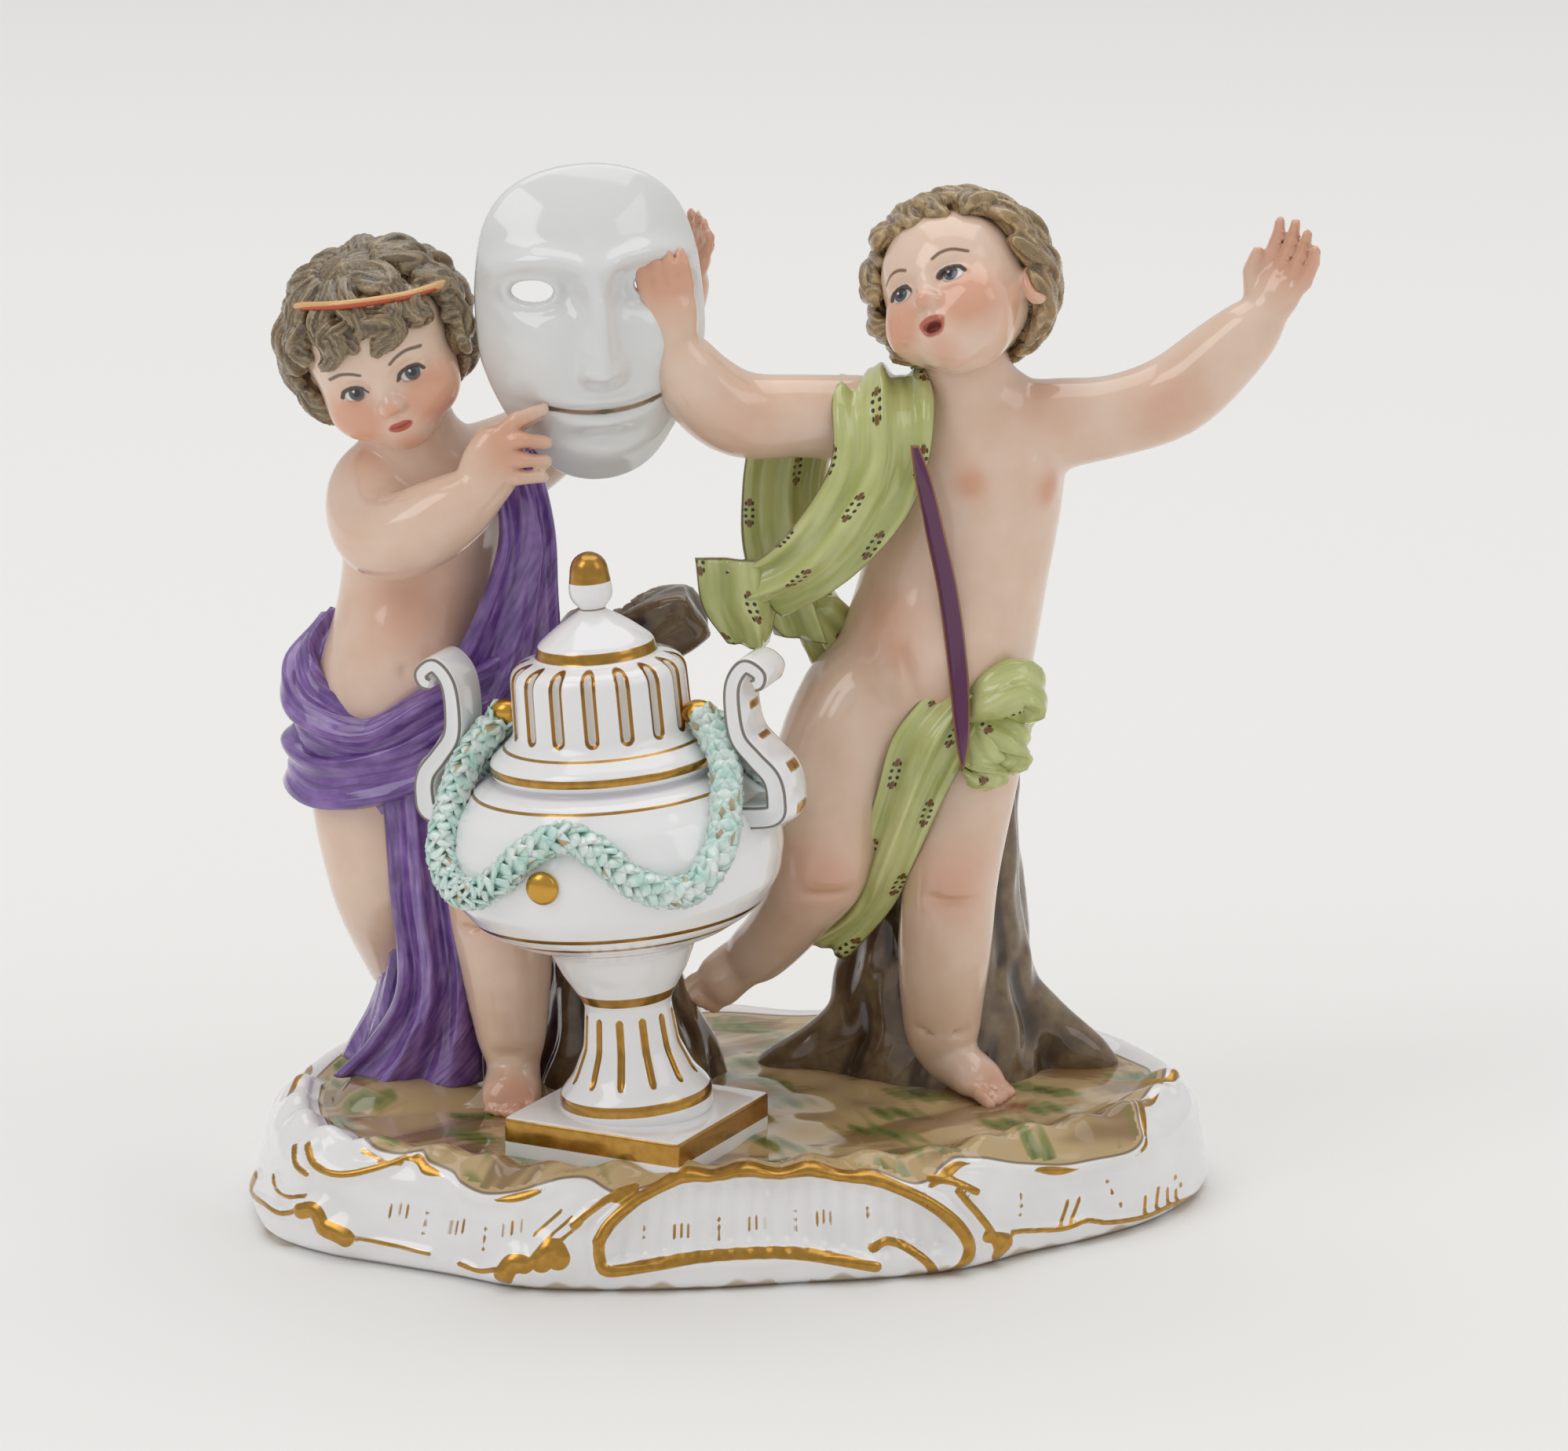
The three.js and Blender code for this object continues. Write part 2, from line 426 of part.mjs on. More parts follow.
// Purple cloth of the left putto: over the shoulder, bunched round the hips and down to the ground
function purpleCloth() {
  const roll = (stations) => limb(stations, { sides: 6, side: [0, 0, 1] });
  return [
    cloth([[[-37, 8, 106], [-28, 9, 106], 1], [[-33, -3.6, 104], [-26, -2, 106]], [[-32, -6, 96],
      [-24.6, -1, 96]],
      [[-34.6, -7, 87], [-24.2, 0, 88]], [[-39, -7, 78], [-24, 1, 80], 3], [[-44, -6.6, 70.5],
      [-25, 2, 71], 3]],
    { folds: 2, out: [0.3, -1, 0] }),
    roll([[-54.6, 8, 81, 2.2, 3], [-58.6, 3, 75, 3.4, 3.4], [-57, -3, 69.4, 3.8, 3.6],
      [-49, -7, 67.4, 3.8, 3.8],
      [-40.5, -7.6, 72, 4, 3.6], [-32, -3, 76, 4, 3.6]]),
    roll([[-32, 11, 73, 4, 2.6], [-40, 15.4, 71, 5, 3], [-49, 15.2, 68, 5, 3], [-55.4, 10, 65, 4.4, 3],
      [-58.6, 3.4, 62.4, 5, 4], [-54, -3.6, 60.6, 5, 4.4], [-45, -7, 63, 5, 4.4],
      [-36, -5, 68, 5, 4.2], [-28, 2, 70, 4.4, 4]]),
    limb([[-34, 7, 74, 9, 8], [-34, 8, 60, 9, 8]]),
    egg([-36, -2.6, 70.5], [7, 4.4, 6], 6, 4),
    cloth([[[-48, -6.4, 61], [-37.4, -7, 63]], [[-47.4, -7, 47], [-37, -6, 48]], [[-46.6, -5, 32],
      [-36, -5, 33]],
      [[-50.6, -0.6, 22.6], [-35.2, -4, 23]], [[-56, 1, 16.4], [-35, -4, 16.4]]], { folds: 2, thick: 3 }),
    limb([[-43.4, 0.6, 63, 7, 6.4], [-42, 2.4, 42, 5.4, 7], [-43.4, 3, 26, 6.6, 6.6],
      [-45, 4, 15.6, 9.2, 7]]),
  ];
}

// Sprigged cloth of the right putto: over the shoulder with a flared end, and round the loins with a bow
function greenCloth() {
  const bow = (stations) => limb(stations, { sides: 5, round: true });
  return [
    cloth([[[17, 10, 111], [29, 10, 112], 1], [[15.4, 2.4, 116.4], [27.6, 2, 117.4], 0.6],
      [[14.4, -4.6, 113.4], [28.6, -5.6, 113.6]], [[14.2, -7.4, 106], [27.6, -8.4, 106]],
      [[9.4, -7.4, 98], [24, -8.6, 98]], [[4.4, -6, 93], [16.6, -7, 90]], [[-1, -4, 91], [8.6, -4, 84.6]]],
    { pleat: 1, thick: 2.2 }),
    cloth([[[-4.6, -5, 92.6], [7, -4, 92], 1], [[-3.6, -5.6, 86], [7, -4.6, 86], 1.6], [[-0.4, -5, 80.8],
      [6, -3.6, 80], 2]],
      { folds: 1.5 }),
    cloth([[[3, 6, 109], [15, 7, 109]], [[1.8, 5, 100], [13.6, 7, 100]], [[2, 2, 91], [14, 6, 88], 3],
      [[6, 3, 80], [15, 8, 78], 3]], { thick: 2.4 }),
    limb([[12, 4, 84, 3.2], [17, 9, 76, 4.4], [24, 13, 72, 4.2], [32, 13, 71, 4], [39, 8, 70, 3.6],
      [40.4, 1, 69, 3.4]],
      { sides: 7, side: [0, 0, 1] }),
    cloth([[[27, -7.4, 74], [37.4, -5, 74]], [[22.8, -7.2, 67.6], [34.6, -8, 67.6], 2.6],
      [[20.6, -6, 59], [30.6, -7.8, 60]], [[18, -2.6, 49.4], [26.6, -5.6, 50]], [[14.4, 1.6, 42.6],
      [23.4, -1, 42]],
      [[10.4, 6.4, 39], [17.4, 3.4, 33]]], { pleat: 0.9, thick: 3 }),
    bow([[33.6, -7.4, 71, 2.6], [37, -9, 74, 3.4], [40.6, -8, 75, 3.8], [41.4, -7.4, 70.6, 3]]),
    bow([[34, -8, 70.4, 2.4], [35.4, -9.4, 65, 3], [35.4, -9, 61.6, 2.4]]),
    bow([[36, -8, 69.6, 2], [39, -8.4, 67.4, 2.6], [38.6, -8, 64, 1.8]]),
    cloth([[[24.4, -6.6, 111], [26.2, -6.8, 111], 0], [[27.6, -7.8, 99.6], [29.6, -8, 99.6], 0],
      [[29.6, -9.2, 88.6], [31.6, -9.2, 88.6], 0], [[31, -9.8, 77.6], [33, -9.8, 77.6], 0],
      [[31.6, -12.2, 66.4], [33, -12.2, 66.4], 0]], { folds: 0, pleat: 0, columns: 2 }),
  ];
}

// Turns the long edge of each needle-thin triangle, so that none is thinner than a height
function turnSlivers(geometry, height) {
  const points = geometry.attributes.position;
  const corner = (i) => new THREE.Vector3().fromBufferAttribute(points, i);
  const index = geometry.index.array;
  const key = (a, b) => a * points.count + b;
  const faces = Array.from({ length: index.length / 3 }, (_, i) => [...index.slice(3 * i, 3 * i + 3)]);
  const owner = new Map(faces.flatMap((face, i) => face.map((a, k) => [key(a, face[(k + 1) % 3]), i])));
  for (let pass = 0; pass < 4; pass++) {
    faces.forEach((face, i) => {
      const lengths = face.map((a, k) => corner(a).distanceTo(corner(face[(k + 1) % 3])));
      const longest = lengths.indexOf(Math.max(...lengths));
      const [a, b, c] = [0, 1, 2].map((k) => face[(longest + k) % 3]);
      const area = new THREE.Triangle(corner(a), corner(b), corner(c)).getArea();
      const other = owner.get(key(b, a));
      const d = faces[other].find((p) => p !== a && p !== b);
      if (2 * area > height * lengths[longest] || owner.has(key(c, d)) || owner.has(key(d, c))) return;
      owner.delete(key(a, b));
      owner.delete(key(b, a));
      [[i, [a, d, c]], [other, [d, b, c]]].forEach(([at, turned]) => {
        faces[at] = turned;
        turned.forEach((p, k) => owner.set(key(p, turned[(k + 1) % 3]), at));
      });
    });
  }
  return geometry.setIndex(faces.flat());
}

// Turns the joined solid back into a three.js mesh
function toMesh(body, name, material) {
  const { vertProperties, triVerts } = body.getMesh();
  const geometry = new THREE.BufferGeometry();
  geometry.setAttribute('position', new THREE.BufferAttribute(vertProperties, 3));
  geometry.setIndex(new THREE.BufferAttribute(triVerts, 1));
  const mesh = new THREE.Mesh(turnSlivers(weld(geometry, seam), thin), material);
  mesh.geometry.computeVertexNormals();
  mesh.name = name;
  return mesh;
}

const base = [mound(), egg(rock.centre, rock.radii, 12, 6), ...stumps(), plinthBlock(), ...vase()];
const left = [...leftPutto(), ...head(leftHead), ...purpleCloth()];
const right = [...rightPutto(), ...head(rightHead), ...greenCloth()];
const porcelain = join([...base, ...left, ...right]).add(maskShell());
const glaze = new THREE.MeshStandardMaterial({ name: 'glazed_porcelain', color: 0xeceaea, roughness: 0.15 });
const group = new THREE.Group();
group.add(toMesh(porcelain, 'porcelain_group', glaze));
export default group;
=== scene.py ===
"""Porcelain figure group: two putti hold up a theatre mask beside a garlanded urn, on a scrolled mound.

Shapes are worked out in millimetres in the part's own frame, and turned to metres when a piece is made."""
import math

import bmesh
import bpy
import numpy as np
from mathutils import Matrix, Vector


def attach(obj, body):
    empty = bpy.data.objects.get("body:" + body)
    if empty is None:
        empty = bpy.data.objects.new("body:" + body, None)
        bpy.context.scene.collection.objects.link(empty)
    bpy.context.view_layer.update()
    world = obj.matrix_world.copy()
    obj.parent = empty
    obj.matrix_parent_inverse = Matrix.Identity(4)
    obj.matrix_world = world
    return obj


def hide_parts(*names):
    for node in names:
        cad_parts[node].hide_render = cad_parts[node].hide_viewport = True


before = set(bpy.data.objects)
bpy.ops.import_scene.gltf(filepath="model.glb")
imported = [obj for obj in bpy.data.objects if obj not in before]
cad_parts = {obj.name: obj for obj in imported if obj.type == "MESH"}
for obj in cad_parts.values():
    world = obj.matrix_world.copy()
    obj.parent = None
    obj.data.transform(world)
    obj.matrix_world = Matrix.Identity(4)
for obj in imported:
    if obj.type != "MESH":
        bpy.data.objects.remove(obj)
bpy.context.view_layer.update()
NODE = "porcelain_group"
MM = 0.001
rng = np.random.default_rng(7)

# Finishes: sRGB colours and the feel of the glaze and of the gilding
PORCELAIN = "#F4F3F4"
SKIN = "#F2E0CE"
SKIN_SHADE = "#E2C7AC"
GOLD = "#D2A24A"
GOLD_DARK = "#9A6A1E"
GOLD_CLOUD = 1.3  # mm between the thick and thin places of the gilding
GOLD_ROUGH = 0.24
STROKE_LENGTH = 0.12  # a brush stroke is drawn out about eight times its width
GLAZE_GLOSS = 0.1
SKIN_GLOSS = 0.14
HAIR_GLOSS = 0.2
GLAZE = {"Coat_Weight": 0.5, "Coat_Roughness": 0.04, "Subsurface_Weight": 0.1,
         "Subsurface_Radius": (0.6, 0.4, 0.3), "Subsurface_Scale": 0.002}
STRAND = 0.95  # mm from one painted and modelled strand of hair to the next
SPRIG_SPACING = 12.5
SPRIG = [((0.5, 0.5), (0.27, 0.27), "#33231A"), ((0.12, 1.65), (0.24, 0.62), "#7A5426"),
         ((0.5, 1.5), (0.16, 0.34), "#3A2A1A")]

# How fine each piece's clay is, in millimetres
CELL = {"stumps": 0.75, "mask": 0.4, "body": 0.54, "head": 0.26, "hair": 0.35, "headband": 0.3}

# Driving dimensions, in millimetres and degrees
GROUND = 14.6
CREST = 16.4
PLINTH = {"side": 27.0, "height": 5.4, "turn": -27.0, "centre": (-12.4, -25.5)}
URN = {"turn": -20.0, "lean": -4.6}
MASK = {"centre": (-18.6, -3.0, 124.9), "half": (15.8, 21.9), "depth": 9.5, "wall": 2.0, "roll": -3.5,
        "yaw": 9.0, "eye": (0.53, 0.27)}
LEFT_HEAD = {"centre": (-47.6, 0.6, 120.8), "radius": 12.2, "yaw": 3.0, "pitch": 16.0, "roll": -22.0}
RIGHT_HEAD = {"centre": (32.2, 0.4, 127.8), "radius": 11.9, "yaw": -33.0, "pitch": -21.0, "roll": -27.0}
ROCK = {"centre": (-46.0, -3.0, 13.2), "radii": (15.0, 11.0, 4.0), "melt": 1.2}


# Small helpers

def unit(v):
    v = np.asarray(v, float)
    return v / np.linalg.norm(v)


def ramp(x, low, high):
    """0 below low, 1 above high, smooth between."""
    t = np.clip((x - low) / (high - low), 0, 1)
    return t * t * (3 - 2 * t)


def bell(x, width):
    """1 at 0, falling away smoothly over width on both sides."""
    return np.exp(-((x / width) ** 2))


def units(rows):
    """Each row of numbers at length 1."""
    return rows / np.linalg.norm(rows, axis=1)[:, None]


def lengths(line):
    """How far each point of a line is from its start, along the line."""
    return np.concatenate([[0], np.cumsum(np.linalg.norm(np.diff(line, axis=0), axis=1))])


def square_to(v, along):
    """The unit vector nearest to v that is square to the unit vector along."""
    v = np.asarray(v, float)
    return unit(v - along * (v @ along))


def spline(points, steps):
    """Catmull-Rom through rows of numbers: steps samples to each span."""
    p = np.asarray(points, float)
    p = np.vstack([2 * p[0] - p[1], p, 2 * p[-1] - p[-2]])
    t = np.linspace(0, 1, steps, endpoint=False)[:, None]
    rows = []
    for i in range(1, len(p) - 2):
        a, b, c, d = p[i - 1], p[i], p[i + 1], p[i + 2]
        rows.append(0.5 * (2 * b + (c - a) * t + (2 * a - 5 * b + 4 * c - d) * t**2
                           + (3 * b - a - 3 * c + d) * t**3))
    return np.vstack([*rows, p[-2]])


def turned(yaw=0.0, pitch=0.0, roll=0.0):
    """Rotation: roll about the view axis Y, then pitch about X, then yaw about Z, in degrees."""
    turn = Matrix.Rotation(math.radians(yaw), 3, "Z") @ Matrix.Rotation(math.radians(pitch), 3, "X")
    return np.array(turn @ Matrix.Rotation(math.radians(roll), 3, "Y"))


# Clay: a solid as signed distances in millimetres on a grid, so that forms melt into each other

class Clay:
    def __init__(self, low, high, cell):
        self.low = np.asarray(low, float)
        self.cell = cell
        counts = np.ceil((np.asarray(high, float) - self.low) / cell).astype(int) + 1
        self.axes = [self.low[i] + cell * np.arange(counts[i]) for i in range(3)]
        self.field = np.full(counts, 4.0, np.float32)

    def window(self, low, high):
        """The part of the grid between two corners, and its coordinates."""
        first = [max(int((low[i] - self.low[i]) / self.cell), 0) for i in range(3)]
        last = [min(int((high[i] - self.low[i]) / self.cell) + 2, len(self.axes[i])) for i in range(3)]
        part = tuple(slice(a, max(b, a)) for a, b in zip(first, last))
        x, y, z = (self.axes[i][part[i]] for i in range(3))
        return part, (x[:, None, None], y[None, :, None], z[None, None, :])

    def add(self, forms, blend=0.6):
        return self.meld(forms, blend, 1)

    def cut(self, forms, blend=0.3):
        return self.meld(forms, blend, -1)

    def meld(self, forms, blend, sign):
        """Adds or cuts forms (low corner, high corner, distance) with joins that are rounded over blend."""
        for low, high, distance in forms:
            pad = blend + 3 * self.cell
            part, xyz = self.window(np.asarray(low) - pad, np.asarray(high) + pad)
            if 0 not in self.field[part].shape:
                self.field[part] = sign * soft_min(sign * self.field[part], distance(*xyz), blend)
        return self

    def skin(self):
        """Points and outward quads of the surface: one point in each cell that it crosses."""
        field = self.field
        inside = field < 0
        size = np.array(field.shape) - 1
        corners = np.array(list(np.ndindex(2, 2, 2)))
        part = [tuple(slice(c[i], c[i] + size[i]) for i in range(3)) for c in corners]
        count = sum(inside[p].astype(np.uint8) for p in part)
        cells = np.argwhere((count > 0) & (count < 8))
        number = np.full(size, -1, np.int32)
        number[tuple(cells.T)] = np.arange(len(cells))
        values = np.stack([field[tuple((cells + c).T)] for c in corners], 1)
        total = np.zeros((len(cells), 3))
        hits = np.zeros((len(cells), 1))
        for a in range(8):
            for b in range(a + 1, 8):
                if np.abs(corners[a] - corners[b]).sum() != 1:
                    continue
                crossed = ((values[:, a] < 0) != (values[:, b] < 0))[:, None]
                t = values[:, a] / np.where(values[:, a] == values[:, b], 1, values[:, a] - values[:, b])
                total += crossed * (corners[a] + t[:, None] * (corners[b] - corners[a]))
                hits += crossed
        points = self.low + self.cell * (cells + total / hits)
        quads = []
        for axis in range(3):
            u, v = (axis + 1) % 3, (axis + 2) % 3
            ahead = [slice(1, -1)] * 3
            ahead[axis] = slice(1, None)
            here = [slice(1, -1)] * 3
            here[axis] = slice(0, -1)
            starts = inside[tuple(here)]
            change = np.argwhere(starts != inside[tuple(ahead)])
            out = starts[tuple(change.T)]
            node = change + np.where(np.arange(3) == axis, 0, 1)
            step_u, step_v = np.eye(3, dtype=int)[u], np.eye(3, dtype=int)[v]
            ring = [node, node - step_u, node - step_u - step_v, node - step_v]
            quad = np.stack([number[tuple(n.T)] for n in ring], 1)
            quads.append(np.where(out[:, None], quad, quad[:, ::-1]))
        return points, np.vstack(quads)


def soft_min(a, b, blend):
    """The smaller of two distances, rounded over where they are within blend of each other."""
    h = np.maximum(blend - np.abs(a - b), 0) / blend
    return np.minimum(a, b) - h * h * blend / 4


def bone(a, b, ra, rb):
    """A round bar from a to b whose radius runs from ra to rb."""
    a, b = np.asarray(a, float), np.asarray(b, float)
    d = b - a
    length2 = max(float(d @ d), 1e-9)

    def distance(x, y, z):
        px, py, pz = x - a[0], y - a[1], z - a[2]
        t = np.clip((px * d[0] + py * d[1] + pz * d[2]) / length2, 0, 1)
        away = np.sqrt((px - t * d[0]) ** 2 + (py - t * d[1]) ** 2 + (pz - t * d[2]) ** 2)
        return away - (ra + t * (rb - ra))
    r = max(ra, rb)
    return np.minimum(a, b) - r, np.maximum(a, b) + r, distance


def ball(centre, radii, turn=np.eye(3)):
    """An ellipsoid; the columns of turn are its own axes."""
    c, r = np.asarray(centre, float), np.asarray(radii, float) * np.ones(3)

    def distance(x, y, z):
        p = [(x - c[0]) * turn[0, i] + (y - c[1]) * turn[1, i] + (z - c[2]) * turn[2, i] for i in range(3)]
        k0 = np.sqrt(sum((p[i] / r[i]) ** 2 for i in range(3)))
        k1 = np.sqrt(sum((p[i] / r[i] ** 2) ** 2 for i in range(3)))
        return k0 * (k0 - 1) / np.maximum(k1, 1e-6)
    return c - r.max(), c + r.max(), distance


def limb(stations, side=(1, 0, 0), steps=4):
    """A limb through stations [x, y, z, radius along side, other radius]."""
    rows = spline([[*s, s[3]] if len(s) == 4 else s for s in stations], steps)
    return [flat_bone(p, q, side) for p, q in zip(rows[:-1], rows[1:])]


def flat_bone(p, q, side):
    """A bar with an oval section between two stations of a limb."""
    a, b = p[:3], q[:3]
    d = b - a
    length2 = max(float(d @ d), 1e-9)
    along = d / math.sqrt(length2)
    across = square_to(side, along)

    def distance(x, y, z):
        px, py, pz = x - a[0], y - a[1], z - a[2]
        t = np.clip((px * d[0] + py * d[1] + pz * d[2]) / length2, 0, 1)
        rx, ry, rz = px - t * d[0], py - t * d[1], pz - t * d[2]
        u = rx * across[0] + ry * across[1] + rz * across[2]
        w2 = np.maximum(rx * rx + ry * ry + rz * rz - u * u, 0)
        ru, rw = p[3] + t * (q[3] - p[3]), p[4] + t * (q[4] - p[4])
        k0 = np.sqrt(u * u / ru**2 + w2 / rw**2)
        k1 = np.sqrt(u * u / ru**4 + w2 / rw**4)
        return k0 * (k0 - 1) / np.maximum(k1, 1e-6)
    r = max(p[3], p[4], q[3], q[4])
    return np.minimum(a, b) - r, np.maximum(a, b) + r, distance


# Meshes

def piece(name, points, faces, material, layers=None):
    """A piece of the group from points in millimetres."""
    mesh = bpy.data.meshes.new(name)
    mesh.from_pydata((np.asarray(points) * MM).tolist(), [], [list(map(int, f)) for f in faces])
    return finish_piece(name, mesh, material, layers)


def finish_piece(name, mesh, material, layers=None):
    """A mesh as a piece of the group; layers are its float attributes, which its material reads."""
    mesh.validate()
    for layer, values in (layers or {}).items():
        attribute = mesh.attributes.new(layer, "FLOAT", "POINT")
        attribute.data.foreach_set("value", np.asarray(values, np.float32))
    mesh.shade_smooth()
    mesh.materials.append(material)
    made = bpy.data.objects.new(name, mesh)
    bpy.context.scene.collection.objects.link(made)
    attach(made, "root")
    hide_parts(NODE)
    return made


def relaxed(points, faces, rounds=2, share=0.5):
    """Points moved part of the way to the middle of their neighbours."""
    faces = np.asarray(faces)
    a = faces.ravel()
    b = np.roll(faces, -1, axis=1).ravel()
    for _ in range(rounds):
        total = np.zeros_like(points)
        count = np.zeros(len(points))
        for p, q in ((a, b), (b, a)):
            np.add.at(total, p, points[q])
            np.add.at(count, p, 1)
        points = points + share * (total / np.maximum(count, 1)[:, None] - points)
    return points


def grid_faces(rows, columns, closed=False):
    """Quads of a grid of points, row by row; closed joins the last column to the first."""
    i, j = np.meshgrid(np.arange(rows - 1), np.arange(columns - (0 if closed else 1)), indexing="ij")
    a = i * columns + j
    b = i * columns + (j + 1) % columns
    return np.stack([a, b, b + columns, a + columns], -1).reshape(-1, 4)


def capped(points, columns, first, last):
    """A closed grid of points with its two ends drawn to a point each: points and faces."""
    rows = len(points) // columns
    faces = grid_faces(rows, columns, closed=True).tolist()
    ring = [(i, (i + 1) % columns) for i in range(columns)]
    faces += [(b, a, rows * columns) for a, b in ring]
    faces += [(start + a, start + b, rows * columns + 1) for start in [(rows - 1) * columns] for a, b in ring]
    return np.vstack([points, first, last]), faces


def flat_ended(rows, columns, start=0):
    """Faces of a closed grid whose two ends are flat, with its first point numbered start."""
    faces = (grid_faces(rows, columns, closed=True) + start).tolist()
    last = start + (rows - 1) * columns
    return faces + [[start + i for i in range(columns)][::-1], [last + i for i in range(columns)]]


def outward(points, faces):
    """A unit normal at each point."""
    a, b, c, d = (points[faces[:, i]] for i in range(4))
    cross = np.cross(c - a, d - b)
    total = np.zeros_like(points)
    for i in range(4):
        np.add.at(total, faces[:, i], cross)
    return total / np.maximum(np.linalg.norm(total, axis=1), 1e-12)[:, None]


def turned_out(made):
    """The same object with all its faces turned to the outside."""
    bm = bmesh.new()
    bm.from_mesh(made.data)
    bmesh.ops.recalc_face_normals(bm, faces=bm.faces)
    bm.to_mesh(made.data)
    bm.free()
    return made


# Materials

def colour(text):
    """A linear colour from an sRGB hex value."""
    part = [int(text[i:i + 2], 16) / 255 for i in (1, 3, 5)]
    return tuple(c / 12.92 if c <= 0.04045 else ((c + 0.055) / 1.055) ** 2.4 for c in part) + (1.0,)


def add(tree, kind, settings=None, **inputs):
    """Adds a node, sets it up and links or sets its inputs; an input n3 is the fourth socket."""
    made = tree.nodes.new("ShaderNode" + kind)
    for key, value in (settings or {}).items():
        setattr(made, key, value)
    for key, value in inputs.items():
        number = key[1:]
        socket = made.inputs[int(number)] if number.isdigit() else made.inputs[key.replace("_", " ")]
        if isinstance(value, bpy.types.NodeSocket):
            tree.links.new(value, socket)
        else:
            socket.default_value = value
    return made


def cover(tree, coat):
    """How much of a coat (attribute, from, to, softness, colour) lies on each point, from 0 to 1."""
    attribute, low, high, soft = coat[:4]
    value = add(tree, "Attribute", {"attribute_name": attribute}).outputs["Fac"]
    off = add(tree, "Math", {"operation": "SUBTRACT"}, n0=value, n1=(low + high) / 2)
    away = add(tree, "Math", {"operation": "ABSOLUTE"}, n0=off.outputs[0])
    half = (high - low) / 2
    return add(tree, "MapRange", {"interpolation_type": "SMOOTHSTEP"}, Value=away.outputs[0],
               n1=half + soft / 2, n2=half - soft / 2).outputs[0]


def glazed(name, base, coats=(), gold=(), cloud=None, strokes=None, relief=0.0, gloss=GLAZE_GLOSS,
           sprigs=None):
    """Porcelain under a clear fired glaze, with enamels painted over it: wet-looking gloss over soft colour.

    A coat is (attribute, from, to, softness, colour, depth): it covers the points whose attribute lies in
    between. cloud is (size in mm, colour, depth): uneven enamel; on the laurel it is painted highlight.
    strokes is (width in mm, colour, depth): brush strokes that follow the attributes across and along.
    sprigs is (spacing in mm, marks): flowers strewn over across and along, whose marks are (centre,
    half size, colour). gold holds coats of burnished gilding."""
    material = bpy.data.materials.new(name)
    material.use_nodes = True
    tree = material.node_tree
    tree.nodes.clear()
    place = add(tree, "TexCoord").outputs["Object"]
    layers = []
    bump = {}
    if cloud:
        size, tint, depth = cloud
        noise = add(tree, "TexNoise", n0=place, Scale=1 / (size * MM), Detail=3.0)
        amount = add(tree, "MapRange", Value=noise.outputs[0], n1=0.35, n2=0.7, n3=0.0, n4=depth)
        layers.append((amount.outputs[0], colour(tint)))
    if strokes or sprigs:
        across, along = (add(tree, "Attribute", {"attribute_name": way}).outputs["Fac"]
                         for way in ("across", "along"))
    if strokes:
        width, tint, depth = strokes
        slow = add(tree, "Math", {"operation": "MULTIPLY"}, n0=along, n1=STROKE_LENGTH)
        flow = add(tree, "CombineXYZ", X=across, Y=slow.outputs[0])
        noise = add(tree, "TexNoise", n0=flow.outputs[0], Scale=1 / width, Detail=2.0)
        amount = add(tree, "MapRange", Value=noise.outputs[0], n1=0.38, n2=0.66, n3=0.0, n4=depth)
        layers.append((amount.outputs[0], colour(tint)))
        if relief:
            bump = {"Normal": add(tree, "Bump", Distance=relief * MM, Height=noise.outputs[0]).outputs[0]}
    if sprigs:
        spacing, marks = sprigs
        half_way = spacing / 2
        flow = add(tree, "CombineXYZ", X=across, Y=along).outputs[0]
        for shift in (0.0, half_way):
            at = add(tree, "VectorMath", {"operation": "ADD"}, n0=flow, n1=(shift, shift, 0)).outputs[0]
            at = add(tree, "VectorMath", {"operation": "WRAP"}, n0=at,
                     n1=(half_way,) * 3, n2=(-half_way,) * 3).outputs[0]
            folded = add(tree, "VectorMath", {"operation": "ABSOLUTE"}, n0=at).outputs[0]
            for centre, half, tint in marks:
                off = add(tree, "VectorMath", {"operation": "SUBTRACT"}, n0=folded,
                          n1=(*centre, 0)).outputs[0]
                scaled = add(tree, "VectorMath", {"operation": "DIVIDE"}, n0=off, n1=(*half, 1)).outputs[0]
                away = add(tree, "VectorMath", {"operation": "LENGTH"}, n0=scaled).outputs["Value"]
                amount = add(tree, "MapRange", {"interpolation_type": "SMOOTHSTEP"}, Value=away,
                             n1=1.2, n2=0.8)
                layers.append((amount.outputs[0], colour(tint)))
    for coat in coats:
        amount = cover(tree, coat)
        if len(coat) > 5:
            amount = add(tree, "Math", {"operation": "MULTIPLY"}, n0=amount, n1=coat[5]).outputs[0]
        layers.append((amount, colour(coat[4])))
    metal, rough = 0.0, gloss
    if gold:
        worn = add(tree, "TexNoise", n0=place, Scale=1 / (GOLD_CLOUD * MM), Detail=2.0).outputs[0]
        for coat in gold:
            amount = cover(tree, coat)
            tone = add(tree, "Mix", {"data_type": "RGBA"}, n0=worn, n6=colour(GOLD_DARK), n7=colour(coat[4]))
            layers.append((amount, tone.outputs[2]))
            metal = add(tree, "Math", {"operation": "MAXIMUM"}, n0=metal, n1=amount).outputs[0]
        rough = add(tree, "MapRange", Value=metal, n3=gloss, n4=GOLD_ROUGH).outputs[0]
    shade = colour(base)
    for amount, tint in layers:
        shade = add(tree, "Mix", {"data_type": "RGBA"}, n0=amount, n6=shade, n7=tint).outputs[2]
    shader = add(tree, "BsdfPrincipled", Base_Color=shade, Metallic=metal, Roughness=rough, **GLAZE, **bump)
    add(tree, "OutputMaterial", Surface=shader.outputs[0])
    return material


# The mound: its outline in millimetres, seen from above, and its profile from the underside to the ground

